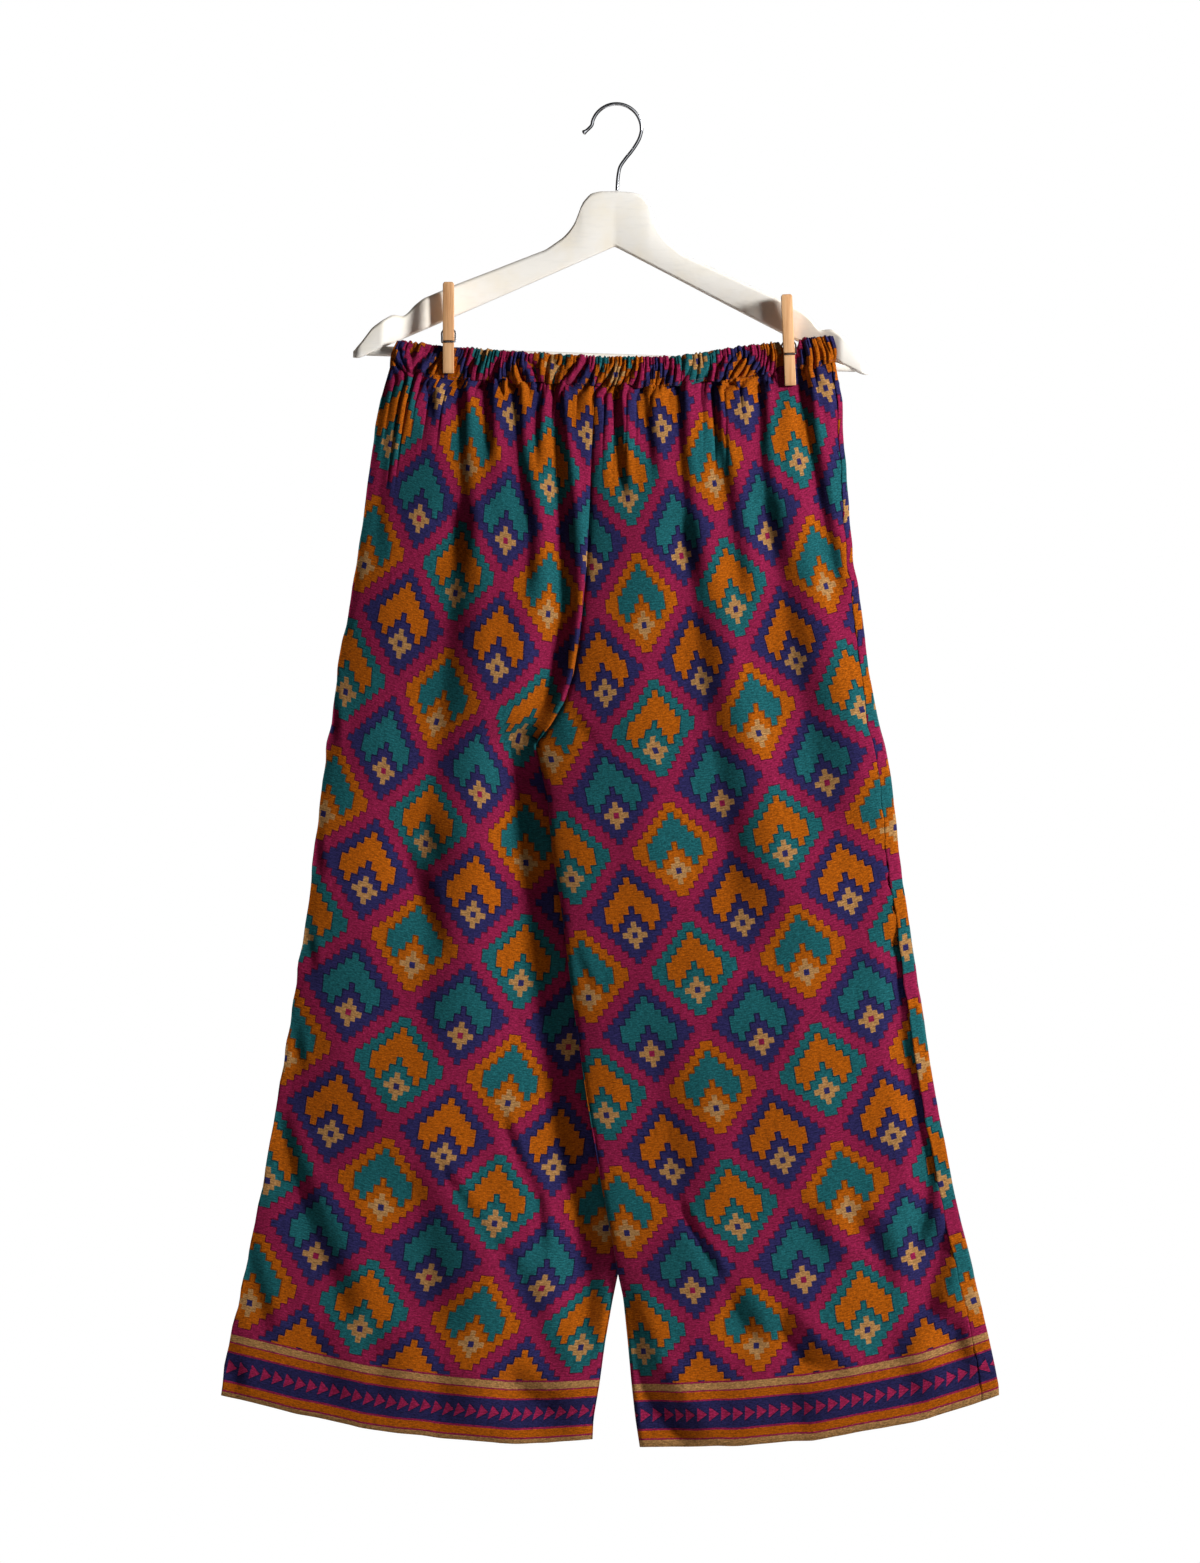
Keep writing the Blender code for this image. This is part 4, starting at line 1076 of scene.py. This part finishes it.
def sew(name, points, uv, node):
    """A piece of the printed cloth, with its thickness, in place of a solid."""
    finish = bpy.data.materials.get(PRINT) or printed_cloth()
    piece = show(name, grid_mesh(name, points, uv), finish)
    wall = piece.modifiers.new("cloth", "SOLIDIFY")
    wall.thickness = bpy.context.scene.pants_cloth.thickness
    wall.offset = 0.0
    wall.use_even_offset = False
    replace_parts(piece, node)
    return piece


def casing_surface(face):
    """The folded casing: from its seam up its outer face, over the top edge and down inside."""
    flat_x = np.linspace(-WAIST_HALF, WAIST_HALF, CASING_COLUMNS + 1)
    flat_x = flat_x if face < 0 else flat_x[::-1]
    flat_x, profile = np.meshgrid(flat_x, np.linspace(0, 1, CASING_ROWS + 1))
    half = np.where(flat_x < CENTRE_SEAM_X, LEFT, RIGHT)
    across = (flat_x - CENTRE_SEAM_X) / (half * WAIST_HALF - CENTRE_SEAM_X)
    outside = profile < OUTER_SHARE
    height = np.where(outside, profile / OUTER_SHARE, (1 - profile) / (1 - OUTER_SHARE))

    def side_x(drop):
        return np.where(
            half < 0, np.interp(drop, EDGE_DROP, LEFT_SIDE), np.interp(drop, EDGE_DROP, RIGHT_SIDE)
        )

    seam = np.interp(flat_x, WAIST_X, WAIST_SEAM) + SEAM_LAP
    top = waist_top(mix(CENTRE_SEAM_X, side_x(PEGS[0][2]), across))
    tall = seam - top
    drop, from_seam = mix(seam, top, height), height * tall
    swollen = side_x(drop) + half * CASING_SWELL * 1.8 * np.sin(np.pi * height)
    x = mix(CENTRE_SEAM_X, swollen, across)
    free = (1 - pressed(x, drop, LOOSE_REACH)) * smooth((1 - across) / 0.03)
    y = np.where(face < 0, waist_front(x, drop, CASING_WALL), waist_back(x, drop))
    ridges = [gathers.at(flat_x, from_seam) for gathers in pleats(face)]
    fine, broad, crinkle = (depth * ridge for depth, _, ridge in ridges)
    # The band swells between its seam and the elastic's top, and is a ruffle above it.
    swell = np.sin(np.pi * np.clip(0.22 + 0.62 * height, 0, 1))
    rolled = np.sqrt(np.clip(1 - height**6, 0, 1))
    upper = smooth((height - 0.5) / 0.3)
    relief = FINE_RELIEF * fine * (1 - 0.4 * upper)
    relief += BROAD_RELIEF * broad * (1 - 0.5 * smooth(height / 0.3)) * (1 - 0.6 * upper)
    relief += CRINKLE_RELIEF * crinkle * (0.25 + 0.75 * upper)
    relief *= mix(PINCH, 1.0, smooth(from_seam / PINCH_FADE)) * (0.8 + 0.4 * swell)
    relief -= SEAM_DENT * np.exp(-from_seam / SEAM_DENT_WIDTH)
    relief -= 0.9 * hump(height - ELASTIC_TOP, 0.06)
    relief += 0.7 * rumple(flat_x, 5, 31 + face, drop)
    reach = CASING_REACH * mix(0.3, 1.0, smooth(height / 0.25))
    outer = y + face * (reach + CASING_SWELL * (swell - 0.6) + relief)
    outer = mix(y + face * 0.4, mix(y + face * reach, outer, free), rolled)
    inner = mix(y, y - face * CASING_REACH * (1 + 0.5 * fine), rolled)
    scallop = TOP_SCALLOP * fine + 1.2 * broad + 1.6 * crinkle
    scallop *= free * smooth((height - 0.5) / 0.5)
    z = scallop - seam_wander(flat_x, face, from_seam) - drop
    points = np.stack([x, np.where(outside, outer, inner), z], axis=-1)
    u, v = np.zeros(x.shape), np.zeros(x.shape)
    for leg in (LEFT, RIGHT):
        _, side, inner_edge = WARP[leg][0]
        leg_u = mix(side, inner_edge, 1 - across) + PRINT_SHIFT[leg]
        leg_v = print_up(leg, 1 - across, 0.0)
        u, v = np.where(half == leg, leg_u, u), np.where(half == leg, leg_v, v)
    v = v + np.where(outside, from_seam, (2 - height) * tall)
    return points, np.stack([u, v], axis=-1)


def stitch_row(mesh, path, every, length, thickness):
    """Short raised stitches along a path of points in mm."""
    arc = np.concatenate([[0], np.cumsum(np.linalg.norm(np.diff(path, axis=0), axis=1))])
    for start in np.arange(every / 2, arc[-1] - length, every):
        first, last = (
            Vector([np.interp(place, arc, path[:, axis]) for axis in range(3)])
            for place in (start, start + length)
        )
        run = last - first
        lay = run.to_track_quat("X", "Z").to_matrix().to_4x4()
        lay = Matrix.Translation((first + last) / 2 * MM) @ lay
        lay = lay @ Matrix.Diagonal((run.length / 2 * MM, thickness * MM, thickness * MM, 1))
        bmesh.ops.create_icosphere(mesh, subdivisions=1, radius=1.0, matrix=lay)


# ---------------------------------------------------------------- hanger and pegs


def hanger_point(x, y, drop):
    """A point of the hanger's upright frame, turned with the hanger about the top of its neck."""
    across = x * math.cos(HANGER_TILT) - (drop - NECK_TOP_DROP) * math.sin(HANGER_TILT)
    down = x * math.sin(HANGER_TILT) + (drop - NECK_TOP_DROP) * math.cos(HANGER_TILT)
    return Vector((across, y, -NECK_TOP_DROP - down))


def hanger_rings(stations, sides=28):
    """Rounded sections along both wings."""
    wing_x, wing_top, wing_bottom = np.array(WINGS, float).T
    rings = []
    for x in stations:
        reach = abs(x)
        spots = np.clip(reach + np.linspace(-1.6, 1.6, 5), 0, wing_x[-1])
        top = float(np.mean(np.interp(spots, wing_x, wing_top)))
        bottom = float(np.mean(np.interp(spots, wing_x, wing_bottom)))
        forward = TIP_FORWARD * min(1.0, (reach / TIP_FORWARD_FROM) ** WING_CURVE)
        half_depth, half_height = HANGER_THICKNESS / 2, max(0.6, (bottom - top) / 2)
        corner = min(SECTION_CORNER, half_height * 0.8)
        end = (wing_x[-1] - reach) / 7.0
        if end < 1:  # the tips are rounded off
            half_depth *= math.sqrt(max(0.02, 1 - (1 - end) ** 2))
            corner = min(corner, half_depth * 0.8)
        ring = []
        for angle in np.linspace(0, 2 * np.pi, sides + 1):
            side, rise = math.cos(angle), math.sin(angle)
            depth = math.copysign(max(0.0, half_depth - corner), side) + corner * side
            height = math.copysign(max(0.0, half_height - corner), rise) + corner * rise
            ring.append(hanger_point(x, forward + depth, (top + bottom) / 2 - height))
        ring[-1] = ring[0]
        rings.append(ring)
    return np.array(rings)


def peg_leg_mesh(node, placing, round_by):
    """The solid's own leg with chamfered top corners and worn edges."""
    mesh = bmesh.new()
    mesh.from_mesh(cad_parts[node].data)
    bmesh.ops.remove_doubles(mesh, verts=mesh.verts, dist=0.01 * MM)
    bmesh.ops.dissolve_limit(mesh, angle_limit=math.radians(2), verts=mesh.verts, edges=mesh.edges)
    for side in (-1, 1):
        corner = placing @ Vector((side * (PEG_WIDTH / 2 - 1.3), 0, PEG_ABOVE)) * MM
        slope = (placing.to_3x3() @ Vector((side, 0, 0.8))).normalized()
        whole = [*mesh.verts, *mesh.edges, *mesh.faces]
        cut = bmesh.ops.bisect_plane(
            mesh, geom=whole, plane_co=corner, plane_no=slope, clear_outer=True
        )
        edges = [item for item in cut["geom_cut"] if isinstance(item, bmesh.types.BMEdge)]
        bmesh.ops.holes_fill(mesh, edges=edges)
    sharp = [edge for edge in mesh.edges if edge.is_manifold and edge.calc_face_angle() > 0.6]
    bmesh.ops.bevel(
        mesh, geom=sharp, offset=round_by, offset_type="OFFSET", affect="EDGES", segments=2,
        profile=0.5, material=-1, clamp_overlap=True
    )
    bmesh.ops.recalc_face_normals(mesh, faces=mesh.faces)
    return mesh


def spring_path(placing):
    """The coil, and the two arms that reach round the sides into the legs' outer grooves."""
    groove = PEG_HALF_GAP - PEG_SPLAY * PEG_GROOVE + LEG_THICKNESS - SPRING_WIRE_RADIUS - 0.2
    beside = PEG_WIDTH / 2 + SEAM_GAP + SPRING_WIRE_RADIUS
    front_arm = (
        (-PEG_WIDTH / 2 + 0.6, -groove, PEG_GROOVE),
        (PEG_WIDTH / 2 - 0.2, -groove, PEG_GROOVE),
        (beside - 0.2, -groove + 0.3, PEG_GROOVE + 0.2),
        (beside, -groove + 1.6, PEG_GROOVE + 1.1),
        (beside, -COIL_RADIUS - 3.6, -6.4),
        (beside, -COIL_RADIUS - 1.0, -3.2),
        (beside - 1.3, -COIL_RADIUS - 0.2, -1.2),
    )
    coil = []
    for share in np.arange(1, COIL_TURNS * 10) / (COIL_TURNS * 10):
        angle = math.pi / 2 + 2 * math.pi * COIL_TURNS * share
        across = mix(COIL_HALF_WIDTH, -COIL_HALF_WIDTH, share)
        coil.append((across, -COIL_RADIUS * math.sin(angle), -COIL_RADIUS * math.cos(angle)))
    back_arm = [(-x, -y, z) for x, y, z in reversed(front_arm)]
    return [placing @ Vector(point) for point in (*front_arm, *coil, *back_arm)]


# ---------------------------------------------------------------- operators


class PANTS_OT_sew_legs(bpy.types.Operator):
    """Sew the two front and two back leg panels"""

    bl_idname = "pants.sew_legs"
    bl_label = "Sew the legs"

    def execute(self, context):
        for face, side, grid in ((FRONT, "front", (230, 195)), (BACK, "back", (190, 165))):
            for half, leg in ((LEFT, "left"), (RIGHT, "right")):
                surface = LegPanel(half, face).surface(*grid)
                piece = sew(f"{leg}_leg_{side}_cloth", *surface, f"{side}_leg_{leg}")
        return {"FINISHED"}


class PANTS_OT_gather_waist(bpy.types.Operator):
    """Fold, gather and stitch the elasticated waist"""

    bl_idname = "pants.gather_waist"
    bl_label = "Gather the waist"

    def execute(self, context):
        for face, side in ((FRONT, "front"), (BACK, "back")):
            piece = sew(f"waist_casing_{side}_cloth", *casing_surface(face), f"waist_casing_{side}")
        return {"FINISHED"}


class PANTS_OT_stitch_waist(bpy.types.Operator):
    """Run the stitches under the waist casing"""

    bl_idname = "pants.stitch_waist"
    bl_label = "Stitch the waist"

    def execute(self, context):
        finish = sewing_thread()
        for face, side in ((FRONT, "front"), (BACK, "back")):
            points, _ = casing_surface(face)
            row = points[STITCH_ROW] + np.array((0.0, face * 0.45, 0.0))
            mesh = bmesh.new()
            stitch_row(mesh, row, every=2.9, length=2.1, thickness=0.22)
            show(f"waist_stitches_{side}", mesh, finish)
        return {"FINISHED"}


class PANTS_OT_carve_hanger(bpy.types.Operator):
    """Carve the hanger's body and turn its bar"""

    bl_idname = "pants.carve_hanger"
    bl_label = "Carve the hanger"

    def execute(self, context):
        finish = lacquered_wood()
        tip = WINGS[-1][0]
        reach = np.concatenate([np.arange(0, 205, 2.0), np.linspace(205, tip, 22)])
        stations = np.concatenate([-reach[:0:-1], reach])
        body = joined(grid_mesh("hanger_body_wood", hanger_rings(stations)))
        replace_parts(show("hanger_body_wood", body, finish), "hanger_body")
        ends = [hanger_point(side * BAR_HALF_LENGTH, TIP_FORWARD, BAR_DROP) for side in (-1, 1)]
        axis = ends[1] - ends[0]
        turned = axis.to_track_quat("Z", "Y").to_matrix().to_4x4()
        bar = bmesh.new()
        bmesh.ops.create_cone(
            bar, cap_ends=True, segments=40, radius1=BAR_RADIUS * MM, radius2=BAR_RADIUS * MM,
            depth=axis.length * MM, matrix=Matrix.Translation((ends[0] + ends[1]) / 2 * MM) @ turned
        )
        rims = [edge for edge in bar.edges if edge.calc_face_angle() > 1.0]
        bmesh.ops.bevel(
            bar, geom=rims, offset=0.6 * MM, affect="EDGES", segments=3, profile=0.5, material=-1
        )
        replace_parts(show("hanger_bar_wood", bar, finish), "hanger_bar")
        return {"FINISHED"}


class PANTS_OT_bend_hook(bpy.types.Operator):
    """Bend the wire hook"""

    bl_idname = "pants.bend_hook"
    bl_label = "Bend the hook"

    def execute(self, context):
        turn = [mix(ARC_START, ARC_END, step / ARC_STEPS) for step in range(ARC_STEPS + 1)]
        middle = WIRE_RADIUS - HOOK_RADIUS
        arc = [(HOOK_RADIUS * math.cos(a), middle + HOOK_RADIUS * math.sin(a)) for a in turn]
        neck_end = (0.6, SEAM_GAP - NECK_TOP_DROP)
        path = curve_through([(x, 0, z) for x, z in (*HOOK_TIP, *arc, *HOOK_NECK, neck_end)], 5)
        from_tip = np.array([(point - path[0]).length for point in path])
        radii = WIRE_RADIUS * np.sqrt(np.clip(from_tip / 0.5, 0.05, 1))
        radii += HOOK_FLARE * np.exp(-((from_tip / 1.6 - 0.6) ** 2))
        finish = bright_wire("chrome_wire", context.scene.pants_hanger.wire, 0.08, 0.8)
        hook = show("hanger_hook_wire", tube("hook", path, radii, 20), finish)
        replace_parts(hook, "hanger_hook")
        return {"FINISHED"}


class PANTS_OT_fit_pegs(bpy.types.Operator):
    """Fit the two wooden pegs and their springs"""

    bl_idname = "pants.fit_pegs"
    bl_label = "Fit the pegs"

    def execute(self, context):
        settings = context.scene.pants_pegs
        steel, wood = bright_wire("spring_steel", settings.spring, 0.22, 0.6), peg_wood()
        for name, x, pivot_drop, lean in PEGS:
            # A peg's own frame: x across, y depth from the peg's mid plane, z above the pivot.
            placing = Matrix.Translation((x, PEG_PLANE, -pivot_drop))
            placing = placing @ Matrix.Rotation(-lean, 4, "Y")
            for side in ("front", "back"):
                mesh = peg_leg_mesh(f"{name}_{side}_leg", placing, settings.edge_round)
                leg = show(f"{name}_{side}_wood", mesh, wood)
                leg.data.set_sharp_from_angle(angle=math.radians(40))
                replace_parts(leg, f"{name}_{side}_leg")
            mesh = tube(name, curve_through(spring_path(placing), 3), SPRING_WIRE_RADIUS, 10)
            spring = show(f"{name}_spring_wire", mesh, steel)
            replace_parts(spring, f"{name}_spring")
        return {"FINISHED"}


class PANTS_OT_set_stage(bpy.types.Operator):
    """Lay the floor, hang the lights and place the camera"""

    bl_idname = "pants.set_stage"
    bl_label = "Set the stage"

    def execute(self, context):
        scene, settings = context.scene, context.scene.pants_stage
        scene.view_settings.view_transform = "Standard"
        floor = bmesh.new()
        below = Matrix.Translation((0, 0, -settings.floor_drop))
        bmesh.ops.create_circle(
            floor, cap_ends=True, segments=96, radius=FLOOR_RADIUS, matrix=below
        )
        finish = Finish("pale_floor", Roughness=0.8)
        cloudy = finish.noise(finish.place(), (6, 6, 6), 3.0)
        finish.wear(Base_Color=finish.pick(cloudy, (0.9, 0.9, 0.9), (0.84, 0.84, 0.84)))
        data = as_data("floor", floor)
        data.materials.append(finish.material)
        self.placed("floor", data)
        self.light_room(scene, settings)
        for name, place, size, share in LIGHTS:
            lamp = bpy.data.lights.new(name, "AREA")
            lamp.shape, lamp.size, lamp.energy = "DISK", size, settings.key_power * share
            light = self.placed(name, lamp, place)
            aim = Vector(CAMERA_AIM) - light.location
            light.rotation_euler = aim.to_track_quat("-Z", "Y").to_euler()
        lens = bpy.data.cameras.new("camera")
        lens.sensor_width = SENSOR
        lens.lens = SENSOR * CAMERA_DISTANCE / FRAME_HEIGHT
        before_it = Vector(CAMERA_AIM) - Vector((0, CAMERA_DISTANCE, 0))
        scene.camera = self.placed("camera", lens, before_it)
        scene.camera.rotation_euler = (math.radians(90), 0, 0)
        return {"FINISHED"}

    @staticmethod
    def placed(name, data, place=(0, 0, 0)):
        item = bpy.data.objects.new(name, data)
        item.location = place
        bpy.context.scene.collection.objects.link(item)
        return item

    @staticmethod
    def light_room(scene, settings):
        """White to the camera, soft light all round, and a bright panel for metal to reflect."""
        scene.world = bpy.data.worlds.new("white_room")
        room = Nodes(scene.world)
        room.nodes.clear()

        def glow(strength, colour=(1.0, 1.0, 1.0)):
            return room.add("Background", (("Color", colour), ("Strength", strength)))

        def choose(ray, otherwise, then):
            is_ray = room.add("LightPath", output=ray)
            return room.add("MixShader", enumerate((is_ray, otherwise, then)))

        heading = room.add("TexCoord", output="Generated")
        behind = room.parts(heading)[1]
        panel = enumerate((heading, PANEL_HEADING))
        panel = room.add("VectorMath", panel, "Value", operation="DOT_PRODUCT")
        soft = glow(room.spread(behind, -0.05, 0.4, settings.sky, settings.wall), WARM)
        mirrored = glow(room.spread(panel, 0.84, 0.98, 0.03, 1.6))
        lit = choose("Is Glossy Ray", soft, mirrored)
        output = room.nodes.new("ShaderNodeOutputWorld")
        room.feed(output.inputs[0], choose("Is Camera Ray", lit, glow(1.0)))


OPERATORS = (
    PANTS_OT_fit_pegs,
    PANTS_OT_gather_waist,
    PANTS_OT_sew_legs,
    PANTS_OT_stitch_waist,
    PANTS_OT_carve_hanger,
    PANTS_OT_bend_hook,
    PANTS_OT_set_stage,
)


class PANTS_PT_panel(bpy.types.Panel):
    """The pieces of the pants and their hanger"""

    bl_idname = "PANTS_PT_panel"
    bl_label = "Palazzo pants"
    bl_space_type = "VIEW_3D"
    bl_region_type = "UI"
    bl_category = "Pants"

    def draw(self, context):
        for operator in OPERATORS:
            self.layout.operator(operator.bl_idname)
        for name, group in SETTINGS.items():
            box = self.layout.box()
            for setting in group.__annotations__:
                box.prop(getattr(context.scene, name), setting)


def register():
    for group in SETTINGS.values():
        bpy.utils.register_class(group)
    for name, group in SETTINGS.items():
        setattr(bpy.types.Scene, name, bpy.props.PointerProperty(type=group))
    for item in (*OPERATORS, PANTS_PT_panel):
        bpy.utils.register_class(item)


def unregister():
    for item in reversed((*OPERATORS, PANTS_PT_panel)):
        bpy.utils.unregister_class(item)
    for name, group in reversed(SETTINGS.items()):
        delattr(bpy.types.Scene, name)
        bpy.utils.unregister_class(group)


def main():
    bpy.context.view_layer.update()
    register()
    for operator in OPERATORS:
        group, action = operator.bl_idname.split(".")
        getattr(getattr(bpy.ops, group), action)()


if __name__ == "__main__":
    main()
